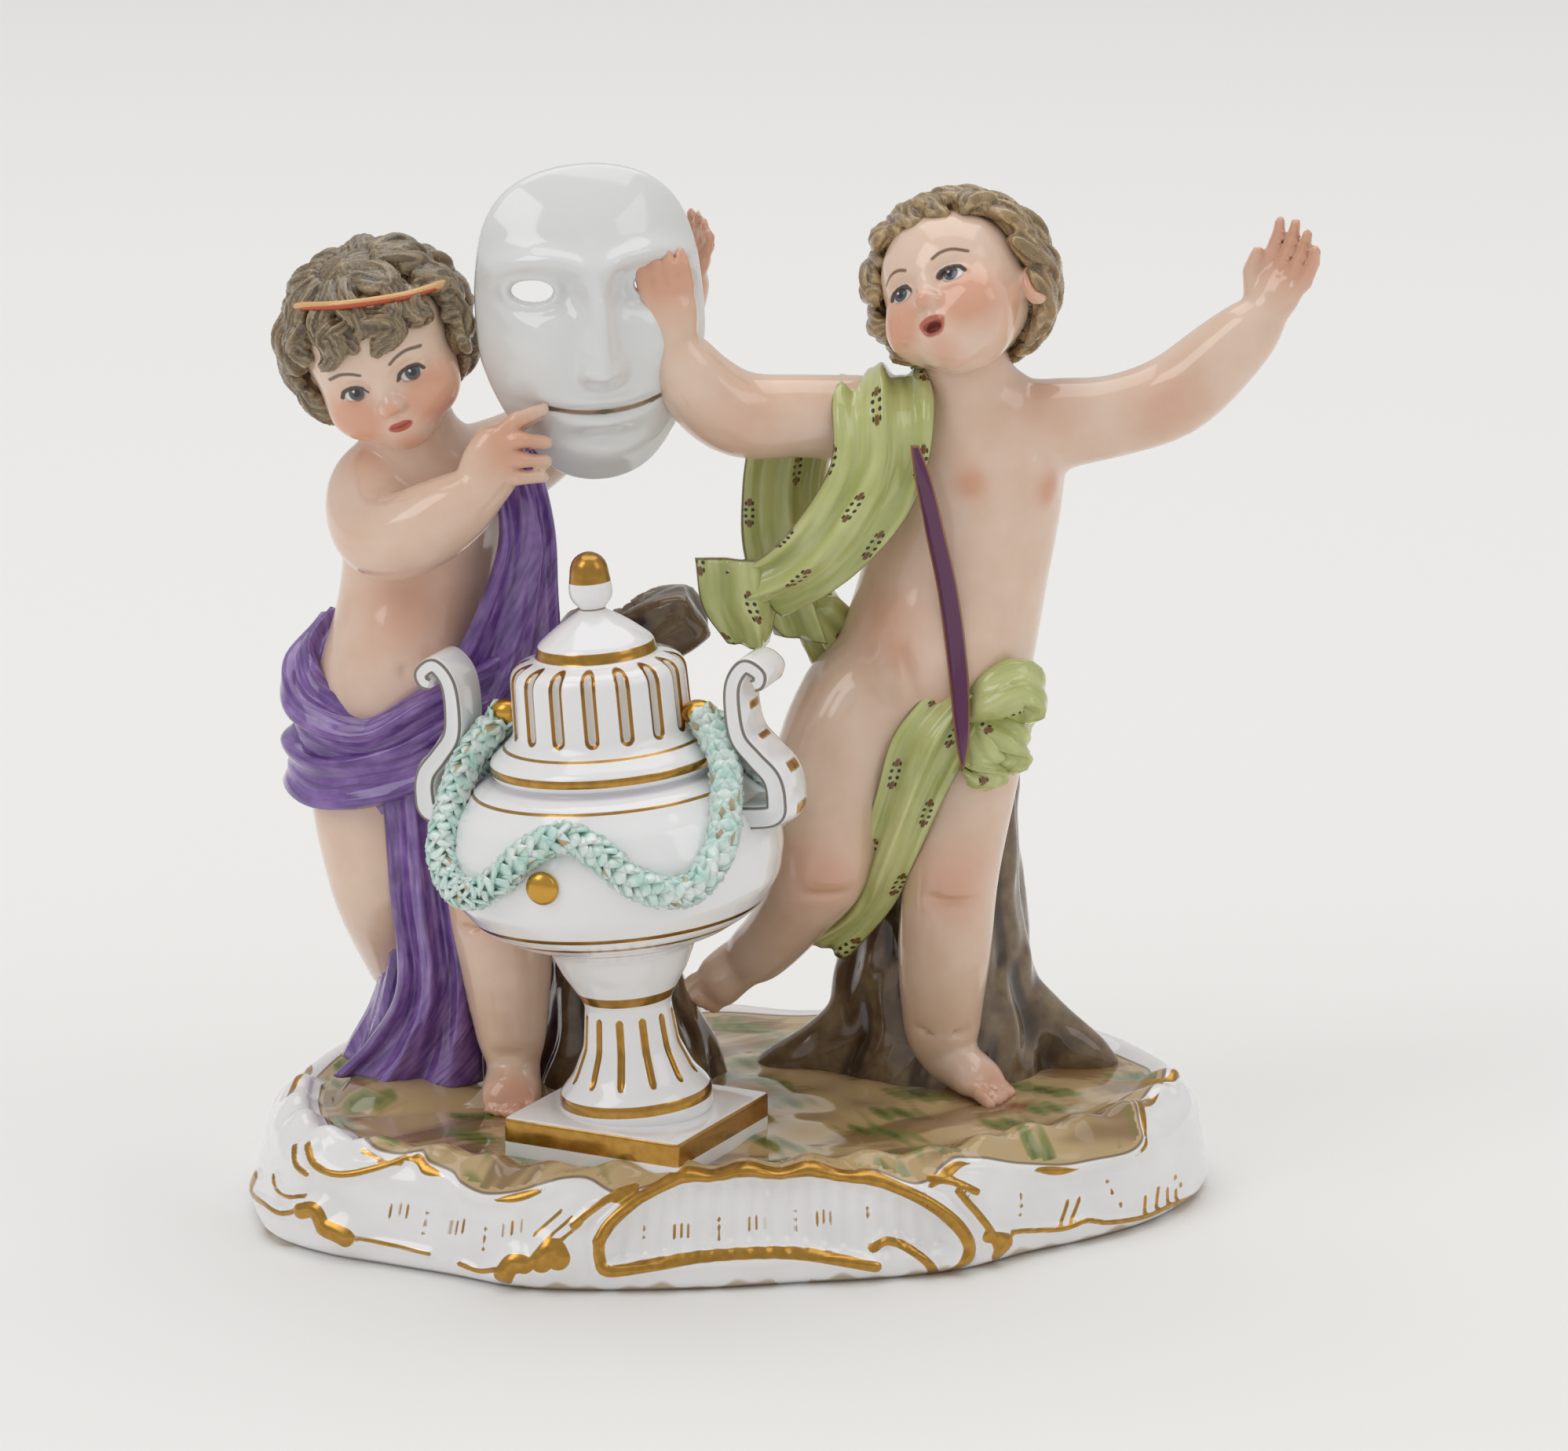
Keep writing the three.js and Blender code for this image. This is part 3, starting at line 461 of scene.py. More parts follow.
GROUND_RISE = 0.8
FRONT_Y = 2
OUTLINE = [(-67.2, -9), (-63.5, -24), (-56.5, -31.5), (-47, -36.5), (-38, -41), (-29, -46), (-18, -47.4),
           (-4, -46.8), (9, -44.6), (22, -42.4), (33, -38.5), (42, -31.5), (52, -24.8), (61, -16), (67.4, -3),
           (67.6, 9), (62, 21), (50, 29.5), (33, 36), (13, 40.2), (-8, 41), (-28, 38), (-46, 31), (-59, 20),
           (-66, 6)]
RIM = [(1.8, 0), (0, 1.4), (0.3, 4.6), (1.2, 8.4), (2, 12), (4.2, 15), (6.4, CREST), (9.6, 15), (12, GROUND)]
CARTOUCHE = {"centre": 7.5, "half": 24.5, "foot": 3.4, "bevel": 1.4, "sunk": 1.1, "rib": 0.16,
             "rib_pitch": 2.6}
CARTOUCHE_TOP = [(-17.1, 7.3), (-15.6, 9.7), (-11.6, 13), (-6.4, 14.9), (-1.1, 15.4), (10.6, 15.1),
                 (16.8, 14.4), (22, 13.3), (27, 10.8), (30.7, 7.6), (32.5, 4.2), (31.9, 1.8), (29.9, -0.7)]
CARTOUCHE_FOOT = [(-17.1, 7.3), (-16.9, 5), (-15.7, 3.3), (-10.4, 3.9), (-3.5, 4.8), (4.6, 4.9), (11, 4.4),
                  (16.7, 3.2), (20, 2.4)]
# gilded lines on the front: half width, height above the white, points (x, z)
GILT = [
    (0.85, 1.5, CARTOUCHE_TOP), (0.75, 1.2, CARTOUCHE_FOOT),
    (0.6, 0.9, [(20, 4.7), (22, 5.4), (24.1, 4.8), (26.6, 2.8), (28.7, 0.2), (30.7, -0.8)]),
    (0.5, 0.8, [(28.6, 13.4), (31.9, 12.6), (34.4, 11)]),
    (0.5, 0.8, [(31.9, 11.5), (33.1, 9.7), (34.4, 7.8), (36.1, 4.6), (37, 0)]),
    (0.8, 0.8, [(35.4, 4.6), (38, 3.4), (36.6, 1.8)]),
    (0.5, 0.8, [(-20.7, 9.4), (-18.5, 11.3), (-15.7, 13.1), (-12.8, 14.1)]),
    (1.1, 1.6, [(-58, 6), (-56, 6.6), (-54.6, 4.4)]), (1.3, 1.7, [(-54, 4.4), (-52.4, 4), (-51.4, 3.6)]),
    (0.3, 0.5, [(-50, 3.8), (-45.1, 3.5), (-40.2, 3.2)]),
    (0.35, 0.8, [(-66.4, 6.2), (-66.5, 3.7), (-64.2, 4.5), (-61.4, 4.7), (-58.3, 6.2)]),
    (0.3, 0.7, [(-63.7, 8.8), (-63.3, 7.8), (-61.4, 7.1), (-58, 8.2)]),
    (0.3, 0.6, [(-66.8, -0.8), (-63.9, 0.9), (-61.1, 0.6)]),
    (0.4, 0.9, [(-61.8, 13.8), (-60.2, 11.8), (-58.3, 11.1)]),
    (0.45, 1.0, [(-59.9, 14.3), (-57.6, 12.6), (-54.7, 12), (-51.8, 12.4), (-48.7, 13.7), (-46.6, 15.1)]),
    (1.3, 1.6, [(-29.5, 2.2), (-28.4, 4), (-26.8, 4)]), (1.6, 1.9, [(-24.4, 4.6), (-23, 6.2), (-22.2, 5)]),
    (0.35, 0.5, [(-36, 2.6), (-33.2, 2.2), (-30.7, 2.9)]),
    (0.35, 0.6, [(38.9, 4.3), (45.6, 3.1), (49.4, 3.5), (52.4, 2.5), (57.7, 1.8), (61.7, 1.9), (66.6, 0.7)]),
]
# painted on the white rim in front: short upright dashes and dots of gold, (x, height)
DASHES = [(-46.7, 7.9), (-45.5, 8.4), (-44.4, 8.3), (-38.2, 7.1), (-37.3, 7.2), (-36.3, 7.4), (-30.4, 8.2),
          (-29.2, 8.6), (-28, 9), (-7.2, 8), (-6.2, 8.2), (-5.2, 8.2), (3.2, 8.6), (4.3, 8.8), (5.4, 8.7),
          (12.8, 8.9), (13.8, 9), (14.8, 8.9)]
DOTS = [(-41.7, 8.3), (-41.7, 7), (-41.7, 5.7), (-33, 7.8), (-33, 6.5), (-33, 5.2), (41.1, 8.7), (40.9, 7.4),
        (40.5, 6.2), (53.8, 7.9), (54, 6.4), (54.8, 4.4), (63, 5.3), (63.7, 3.8), (-1, 9.4), (-1, 8.2),
        (-1, 7), (9.7, 10), (9.7, 8.8), (9.7, 7.6), (20, 9.8), (20, 8.8), (-11.4, 8.6), (-11.4, 7.4)]
COMBS = [[(45.6, 3.4), (47.7, 6.6)], [(47, 3.4), (49.4, 6.6)], [(57.7, 1.8), (58.3, 4.5)],
         [(59.4, 1.8), (60.3, 5.1)], [(61.2, 1.6), (61.6, 4.4)], [(62.5, 1.4), (62.8, 3.6)],
         [(-26, 8), (-22.5, 11.4)], [(-24.2, 7.4), (-21, 10.6)], [(-22.6, 7), (-19.6, 9.8)],
         [(-52.3, 14.9), (-49.6, 14.4), (-46.6, 14.2)]]
GILT += [(0.2, 0.0, [(x, z - 0.9), (x, z + 0.9)]) for x, z in DASHES]
GILT += [(0.26, 0.0, [(x, z - 0.15), (x, z + 0.15)]) for x, z in DOTS]
GILT += [(0.24, 0.15, line) for line in COMBS]
# gilded scrolls on top of the rim behind: half width, points (x, y)
GILT_BEHIND = [(0.6, [(56.8, 1.8), (60, -1), (62.4, -1.5), (63.5, 0.7)]),
               (0.7, [(59.6, -13), (63, -15.6), (65, -19.5)]), (1.0, [(1.5, 38.6), (5, 37.6), (8.5, 38.8)]),
               (0.5, [(-62, -6), (-60, 3), (-61, 10)])]
# where the painted ground ends in front: x, height on the rim
GROUND_EDGE = [(-66, 20), (-58.6, 18.9), (-56.3, 17.9), (-52.7, 16.1), (-50.2, 15.4), (-45.3, 15.9),
               (-43, 14.7), (-39.5, 14.3), (-37.4, 13.1), (-33.9, 12.5), (-29.7, 13.4), (-25.6, 14.5),
               (-20.9, 15.7), (-16, 13.6), (-11.6, 14.2), (-6.4, 15.6), (0, 16.2), (10.6, 15.8), (16.8, 15.2),
               (22, 14.4), (27, 13), (31, 14.6), (34.5, 15.6), (38.9, 13.9), (43.3, 12.6), (47.8, 11.6),
               (52.3, 11.4), (57, 11.3), (59.3, 12.4), (60.1, 14.3), (62, 17)]


def from_line(x, z, points):
    """Distance from each (x, z) to a line through points."""
    row = spline(points, 4)
    best = np.full(np.shape(x), 1e9)
    for a, b in zip(row[:-1], row[1:]):
        d = b - a
        t = np.clip(((x - a[0]) * d[0] + (z - a[1]) * d[1]) / max(d @ d, 1e-9), 0, 1)
        best = np.minimum(best, np.hypot(x - a[0] - t * d[0], z - a[1] - t * d[1]))
    return best


def resampled(points, count, density):
    """count points along a closed line, closer together where density says so."""
    fine = spline([points[-1], *points, *points[:2]], 40)[40:40 * (len(points) + 1)]
    step = np.linalg.norm(np.roll(fine, -1, axis=0) - fine, axis=1) * density(fine)
    total = np.concatenate([[0], np.cumsum(step)])
    at = np.interp(np.linspace(0, total[-1], count, endpoint=False), total, np.arange(len(fine) + 1))
    low = np.floor(at).astype(int) % len(fine)
    return fine[low] + (at % 1)[:, None] * (fine[(low + 1) % len(fine)] - fine[low])


def sunk_panel(x, z):
    """The cartouche's panel on the front, as a depth, and its share from 0 at the frame to 1 inside."""
    off = np.abs(x - CARTOUCHE["centre"]) / CARTOUCHE["half"]
    over = CARTOUCHE_TOP[:11]
    top = np.interp(x, [p[0] for p in over], [p[1] for p in over])
    bevel = CARTOUCHE["bevel"]
    inside = ramp(1 - off, 0, 0.12) * ramp(top - z, 0, bevel) * ramp(z - CARTOUCHE["foot"], 0, bevel)
    ribs = CARTOUCHE["rib"] * np.cos(x * 2 * math.pi / CARTOUCHE["rib_pitch"])
    return inside * (ribs - CARTOUCHE["sunk"]), inside


def mound():
    """The scrolled rim, row by row from the underside over the crest, and the painted ground inside it."""
    count, front_weight, scallops = 500, 3.2, 25
    edge = resampled(OUTLINE, count, lambda p: np.where(p[:, 1] < FRONT_Y, front_weight, 1.0))
    out = units(edge * (1, 1.35))
    rows = spline(RIM, 7)
    x = edge[:, 0]
    front = edge[:, 1] < FRONT_Y
    around = np.arange(count)
    shoreline = spline(GROUND_EDGE, 8)
    foot = np.interp(x, shoreline[:, 0], shoreline[:, 1])
    walked = lengths(rows)
    crest = int(np.argmax(rows[:, 1]))
    points, gilt, ground = [], [], []
    for k, (inset, z) in enumerate(rows):
        level = np.full(count, float(z))
        face = ramp(level, 0.2, 2.0) * front * (k <= crest + 3)
        line = np.full(count, 9.0)
        rise = np.zeros(count)
        for half, high, path in GILT:
            near = (x > min(p[0] for p in path) - 4) & (x < max(p[0] for p in path) + 4) & front
            if near.any() and k <= crest + 2:
                d = from_line(x[near], level[near], path)
                line[near] = np.minimum(line[near], d - half)
                rise[near] = np.maximum(rise[near], high * bell(d, half * 1.6))
        rise = np.maximum(rise, 0.5 * bell(level - foot + 0.9, 0.8) * front * (k <= crest + 1))
        if k <= crest:
            stroke = 0.6 * np.sin(0.42 * x + 1.0)
            line = np.where(front, np.minimum(line, np.abs(level - foot + 0.9) - stroke), line)
        panel, inside = sunk_panel(x, z)
        swell = 0.5 * np.sin(0.21 * x + 0.6) * ramp(level, 3, 9) * (1 - inside)
        wave = np.sin(around * 2 * math.pi * scallops / count)
        scallop = 0.5 * wave * bell(z - CREST, 2.2) * (k < crest + 8)
        flat = edge + out * (face * (rise + panel + swell) - inset)[:, None]
        if k > crest - 8:
            for half, path in GILT_BEHIND:
                line = np.minimum(line, from_line(flat[:, 0], flat[:, 1], path) - half)
        points.append(np.column_stack([flat, z + scallop + 0.25 * rise * face]))
        gilt.append(line)
        beyond = walked[k] - walked[crest]
        in_front = z - foot if k <= crest else np.maximum(beyond - (foot - CREST), z - foot)
        ground.append(np.where(front, in_front, beyond - 2.2 + 0.8 * np.sin(around / 9)))
    shore = points[-1][:, :2]
    for share in np.linspace(0.965, 0.035, 28):
        flat = shore * share
        away = np.linalg.norm((flat - ROCK["centre"][:2]) / ROCK["radii"][:2], axis=1)
        ripple = 0.3 * np.sin(0.4 * flat[:, 0]) * np.cos(0.5 * flat[:, 1])
        z = GROUND + GROUND_RISE * (1 - share) + ripple * (1 - share**6)
        rock = ROCK["centre"][2] + ROCK["radii"][2] * np.sqrt(np.clip(1 - away**2, 0, 1))
        points.append(np.column_stack([flat, -soft_min(-z, -rock, ROCK["melt"])]))
        gilt.append(np.full(count, 9.0))
        ground.append(np.full(count, 9.0))
    points, faces = capped(np.vstack(points), count, (0, 0, 0), (0, 0, GROUND + GROUND_RISE))
    gilt = np.append(np.concatenate(gilt), [9, 9])
    ground = np.append(np.concatenate(ground), [-9, 9])
    px, py, pz = points.T
    green = (np.sin(0.33 * px + 1.2 * np.sin(0.25 * py)) + 0.6 * np.sin(0.7 * py + 0.2 * px)
             + 0.4 * np.sin(1.9 * px + py))
    brown = (np.sin(0.21 * px + 2 + 1.4 * np.sin(0.19 * py)) + 0.6 * np.sin(0.5 * py - 0.3 * px)
             + 0.3 * np.sin(1.3 * px - 2 * py))
    spot = np.hypot((px - 40.5) / 1.6, (py + 9.5) / 1.2)
    # A brownish band along the very bottom of the rim in front, wavy along its top
    bottom_band_place = (py < 0) & (px > -31) & (np.abs(px - 9) > 2)
    bottom_band = np.where(bottom_band_place, pz - 0.5 * np.sin(0.5 * px) - 0.4 * np.sin(1.3 * px), 9)
    painted = ground > 0.4
    material = glazed("porcelain_painted_ground", PORCELAIN, cloud=(6, "#E9E7E4", 0.5), coats=[
        ("bottom_band", -9, 0.9, 0.9, "#B09468", 0.75), ("ground", -0.1, 99, 0.5, "#C3A675", 0.97),
        ("brown", 0.45, 9, 1.1, "#85653D", 0.8), ("green", 0.7, 9, 0.8, "#75823A", 0.8),
        ("green", 1.4, 9, 0.4, "#525E28", 0.65), ("spot", -9, 1, 0.8, "#9A4630", 0.7),
        ("ground", -0.22, 0.1, 0.2, "#6B5136", 0.8)], gold=[("gilt", -9, 0, 0.16, GOLD)])
    layers = {"ground": ground, "gilt": gilt, "green": np.where(painted, green, -2),
              "brown": np.where(painted, brown, -2), "spot": spot, "bottom_band": bottom_band}
    return piece("mound", points, faces, material, layers)


# Tree stumps behind the putti: ridged brown bark, spreading roots and a sawn branch

def stumps():
    melt, ridge_height = 2.0, 0.42
    clay = Clay((-36, -12, 11), (60, 28, 92), CELL["stumps"])
    right = limb([[29.5, 13, 12, 18, 14], [29.5, 13, 18, 15.2, 12.5], [29.5, 13, 29, 13.4, 11.4],
                  [30, 12.5, 44, 11, 10], [31.5, 11.5, 60, 9, 8]])
    left = limb([[-15, 6, 12, 15, 12], [-15.5, 6.5, 18, 11.5, 10], [-16.5, 7, 29, 9, 8.5],
                 [-18, 8, 50, 7.8, 7.2], [-19, 9.5, 76, 6.6, 6]])
    roots = [[[40, 12, 23, 5], [46, 12, 18.5, 3.6], [54, 12, 14.4, 1.8]],
             [[20, 10, 21, 4.5], [12.5, 10, 16.8, 3.4], [5.5, 11, 14.4, 1.8]]]
    branch = [[-17, 9, 70, 4.6], [-12, 8.8, 78, 4.2], [-5, 8.2, 82, 4]]
    for forms in (right, left, *[limb(r) for r in roots], limb(branch, (0, 1, 0))):
        clay.add(forms, melt)
    clay.cut([plane_cut((-4.2, 8.2, 82.4), (0.87, -0.1, 0.48))], 0.3)
    points, faces = clay.skin()
    x, y, z = points.T
    angle = np.where(x > 6, np.arctan2(y - 12.5, x - 30), np.arctan2(y - 7.5, x + 17))
    ridges = (np.sin(9 * angle + 0.13 * z + 0.8 * np.sin(0.21 * z))
              + 0.5 * np.sin(17 * angle - 0.2 * z + np.sin(0.5 * z)))
    normals = outward(points, faces)
    points = points + normals * (ridge_height * ridges)[:, None]
    material = glazed("enamelled_bark_brown", "#66503A", cloud=(3, "#8F7B5C", 0.8), coats=[
        ("ridge", -9, -0.5, 1.0, "#35271D", 0.75)])
    return piece("stumps", points, faces, material, {"ridge": ridges})


def plane_cut(point, normal, reach=7.0):
    """Everything on the side of a plane that its normal points to, within reach of the point."""
    point, n = np.asarray(point, float), unit(normal)

    def distance(x, y, z):
        return -((x - point[0]) * n[0] + (y - point[1]) * n[1] + (z - point[2]) * n[2])
    return point - reach, point + reach, distance


# The urn and its plinth

URN_PROFILE = [(0, -1), (10.5, -1), (10.5, 2.6), (8.4, 5), (6.6, 9), (5.9, 15), (6.9, 16.8), (8.6, 19.6),
               (10.2, 23.4), (12.6, 24.6), (15.6, 25.6), (16.8, 26.4), (18.6, 27.4), (19.6, 28.2),
               (20.2, 28.8), (22.4, 32), (23.2, 36), (23, 39), (21, 43.2), (18.8, 45.6), (18.3, 46.4),
               (16.8, 47.2), (15.4, 47.5), (15.2, 48.1), (15.9, 48.7), (15.9, 50.1), (14.6, 51.2),
               (13.5, 52.2), (12.4, 53.2), (12.2, 54), (12, 61.6), (11.5, 62.6), (10.4, 63.2), (8.6, 63.7),
               (8.1, 64), (8.1, 65.4), (7.4, 66), (5, 67.9), (2.6, 69.4), (1.7, 69.9), (1.7, 70.3),
               (2.9, 71.4), (3.05, 73), (2.7, 74.3), (2.67, 75.2), (2.4, 76.6), (1.4, 77.6), (0, 77.9)]
HANDLE_PATH = [(20, 42), (24.9, 42.4), (25.7, 44.6), (25.2, 47.6), (23, 50.2), (20.9, 53), (20.4, 57),
               (20.8, 60.6), (22.6, 62.8), (24.5, 61.8)]
# flutes of the neck and of the foot: low, high, count, half width, turn
FLUTES = ((53.6, 63.4, 16, 0.8, -0.07), (4.4, 13.8, 12, 0.55, 0.1))
# gilt rings: lowest and highest point of each
GILT_BANDS = [(1.2, 2.7), (15.6, 17.0), (24.7, 25.3), (26.8, 27.3), (28.6, 29.2), (45.9, 46.25), (48.9, 50),
              (51.9, 52.2), (64, 65.4), (73.8, 79)]
# the garland's middle line: degrees off the front, height
FESTOON = [(0, 43.8), (12, 42), (22, 38.4), (33, 36), (44, 36.2), (55, 39.6), (64, 43.6), (78, 50), (90, 55)]


def in_urn(points):
    """From the urn's own upright frame to its place on the plinth."""
    p = np.asarray(points, float)
    lean = Matrix.Rotation(math.radians(URN["lean"]), 3, "Y")
    turn = np.array(lean @ Matrix.Rotation(math.radians(URN["turn"]), 3, "Z"))
    return p @ turn.T + (*PLINTH["centre"], GROUND + PLINTH["height"])


def urn_radius(z):
    """How wide the urn is at a height."""
    return np.interp(z, [p[1] for p in URN_PROFILE[1:]], [p[0] for p in URN_PROFILE[1:]])


def urn():
    columns, row_height = 240, 0.54
    rounded = []
    for a, b in zip(URN_PROFILE[:-1], URN_PROFILE[1:]):
        steps = max(2, int(math.dist(a, b) / row_height))
        rounded += [(a[0] + (b[0] - a[0]) * t / steps, a[1] + (b[1] - a[1]) * t / steps)
                    for t in range(steps)]
    profile = np.array([*rounded, URN_PROFILE[-1]])
    for _ in range(2):
        profile[3:-2] = 0.25 * profile[2:-3] + 0.5 * profile[3:-2] + 0.25 * profile[4:-1]
    r, z = profile[1:-1].T
    angle = np.linspace(0, 2 * math.pi, columns, endpoint=False)
    radius = np.repeat(r[:, None], columns, 1)
    grooves = []
    for low, high, count, half, phase in FLUTES:
        pitch = 2 * math.pi / count
        local = ((angle + phase) % pitch - pitch / 2)[None, :] * r[:, None]
        beyond = np.maximum(np.maximum(low + half - z, z - high + half), 0)[:, None]
        grooves.append(half - np.hypot(local, beyond))
        radius = radius - 0.6 * half * ramp(grooves[-1], -0.15, 0.6)
    level = np.repeat(z[:, None], columns, 1)
    points = np.stack([radius * np.cos(angle), radius * np.sin(angle), level], -1).reshape(-1, 3)
    top = URN_PROFILE[-1][1]
    points, faces = capped(points, columns, (0, 0, z[0]), (0, 0, top))
    height = np.append(level, [z[0], top])
    neck, foot_flutes = (np.append(groove.ravel(), [-9, -9]) for groove in grooves)
    gold = [("height", low, high, 0.12, GOLD) for low, high in GILT_BANDS]
    # The beige in the depth of each neck flute is painted shade in the groove
    # The grey-lilac band from 47.4 to 48.3 mm lies in the groove under the thick gold band: painted shadow
    material = glazed("hard_paste_porcelain_gilt_lines", PORCELAIN, coats=[
        ("height", 47.4, 48.3, 0.4, "#B9B2BE", 0.6), ("height", 70.0, 70.25, 0.1, "#6B4A26", 0.8),
        ("neck", 0.3, 9, 0.2, "#A8967A", 0.5)],
        gold=[*gold, ("neck", -0.2, 0.28, 0.16, GOLD_DARK), ("foot", 0.0, 9, 0.16, "#B98B3A")])
    return piece("urn", in_urn(points), faces, material,
                 {"height": height, "neck": neck, "foot": foot_flutes})


def strap(sign):
    """A flat handle, curled at the top, with a dark gold line along each edge of its narrow faces."""
    path = spline([*HANDLE_PATH, (24.4, 60.6), (23.6, 60.2)], 9)
    tangent = units(np.gradient(path, axis=0))
    normal = np.column_stack([tangent[:, 1], -tangent[:, 0]])
    share = np.linspace(0, 1, len(path))
    half_thick = 1.7 * (1 - 0.42 * share)
    half_wide = 4.2 * (1 - 0.12 * share)
    corners = [(-1, -0.84), (-1, 0), (-1, 0.84), (-0.86, 1), (-0.5, 0.97), (0, 0.93), (0.5, 0.97), (0.86, 1),
               (1, 0.84), (1.2, 0.4), (1.26, 0), (1.2, -0.4), (1, -0.84), (0.86, -1), (0.5, -0.97),
               (0, -0.93), (-0.5, -0.97), (-0.86, -1)]
    rings, edge, scale = [], [], []
    for p, n, t, w, along in zip(path, normal, half_thick, half_wide, share):
        for a, b in corners:
            bead = math.cos(along * 46)
            swell = 1 + 0.16 * bead * (a > 0.9) * (abs(b) < 0.5)
            rings.append((sign * (p[0] + n[0] * t * a * swell), sign * w * b, p[1] + n[1] * t * a * swell))
            edge.append((1 - abs(a)) * t if abs(b) > 0.9 else 1.0)
            scale.append(bead if a > 1.1 else -1)
    faces = flat_ended(len(path), len(corners))
    return np.array(rings), faces, np.array(edge), np.array(scale)


def handles():
    points, faces, edge, scale = strap(1)
    more, again, edge2, scale2 = strap(-1)
    faces += [[i + len(points) for i in f] for f in again]
    material = glazed("porcelain_handle_gilt_edges", PORCELAIN,
                      coats=[("edge", 0.12, 0.5, 0.14, "#5A4A32", 0.85)], gold=[("scale", 0.8, 2, 0.3, GOLD)])
    layers = {"edge": np.append(edge, edge2), "scale": np.append(scale, scale2)}
    return turned_out(piece("urn_handles", in_urn(np.vstack([points, more])), faces, material, layers))


def gilding():
    """Burnished gold fired on porcelain: a warm metal with an even, soft polish."""
    material = bpy.data.materials.new("burnished_gilding_on_porcelain")
    material.use_nodes = True
    shader = material.node_tree.nodes["Principled BSDF"]
    shader.inputs["Base Color"].default_value = colour(GOLD)
    shader.inputs["Metallic"].default_value = 1.0
    shader.inputs["Roughness"].default_value = GOLD_ROUGH
    return material


def knobs():
    """The gilt knobs that the garland hangs from, and the one on the belly, on both sides."""
    bm = bmesh.new()
    for sign in (1, -1):
        for centre, radii in (((14, 0, 55.6), (2.4, 1.8, 1.8)), ((-0.9, -23.4, 37.4), (2.3, 1.2, 2.3))):
            made = bmesh.ops.create_uvsphere(bm, u_segments=20, v_segments=12, radius=1.0)
            for v in made["verts"]:
                local = (np.array(v.co) * radii + centre) * (sign, sign, 1)
                v.co = Vector(in_urn([local])[0] * MM)
    mesh = bpy.data.meshes.new("urn_knobs")
    bm.to_mesh(mesh)
    bm.free()
    return finish_piece("urn_knobs", mesh, gilding())


def plinth():
    side, height = PLINTH["side"], PLINTH["height"]
    bm = bmesh.new()
    bmesh.ops.create_cube(bm, size=1.0)
    spin = Matrix.Rotation(math.radians(PLINTH["turn"]), 4, "Z")
    place = Matrix.Translation(Vector((*PLINTH["centre"], GROUND + (height - 1) / 2)))
    bmesh.ops.transform(bm, matrix=place @ spin @ Matrix.Diagonal((side, side, height + 1, 1)),
                        verts=bm.verts)
    bmesh.ops.bevel(bm, geom=bm.edges[:], offset=0.6, affect="EDGES", segments=3, profile=0.5, material=-1)
    bmesh.ops.subdivide_edges(bm, edges=bm.edges[:], cuts=3, use_grid_fill=True)
    points = np.array([v.co for v in bm.verts])
    bmesh.ops.transform(bm, matrix=Matrix.Scale(MM, 4), verts=bm.verts)
    mesh = bpy.data.meshes.new("plinth")
    bm.to_mesh(mesh)
    bm.free()
    material = glazed("porcelain_plinth_gilt_band", PORCELAIN,
                      gold=[("height", GROUND + 2.0, GROUND + 5.2, 0.15, GOLD)])
    return finish_piece("plinth", mesh, material, {"height": points[:, 2]})


LEAF_SIDES = 7


def leaf(root, tip, across, lift, width):
    """A small laurel leaf with a raised midrib: points and faces of a closed shell."""
    root, tip = np.asarray(root), np.asarray(tip)
    rows, points = 7, []
    for k in range(rows):
        t = k / (rows - 1)
        half = width * math.sin(math.pi * min(0.08 + 0.92 * t, 0.985)) ** 0.7
        middle = root + (tip - root) * t + lift * 0.35 * math.sin(math.pi * t)
        for s, h in ((-1, 0), (-0.5, 0.26), (0, 0.16), (0.5, 0.26), (1, 0)):
            points.append(middle + across * half * s + lift * h)
        for s in (0.5, -0.5):
            points.append(middle + across * half * s - lift * 0.3)
    return points, flat_ended(rows, LEAF_SIDES)


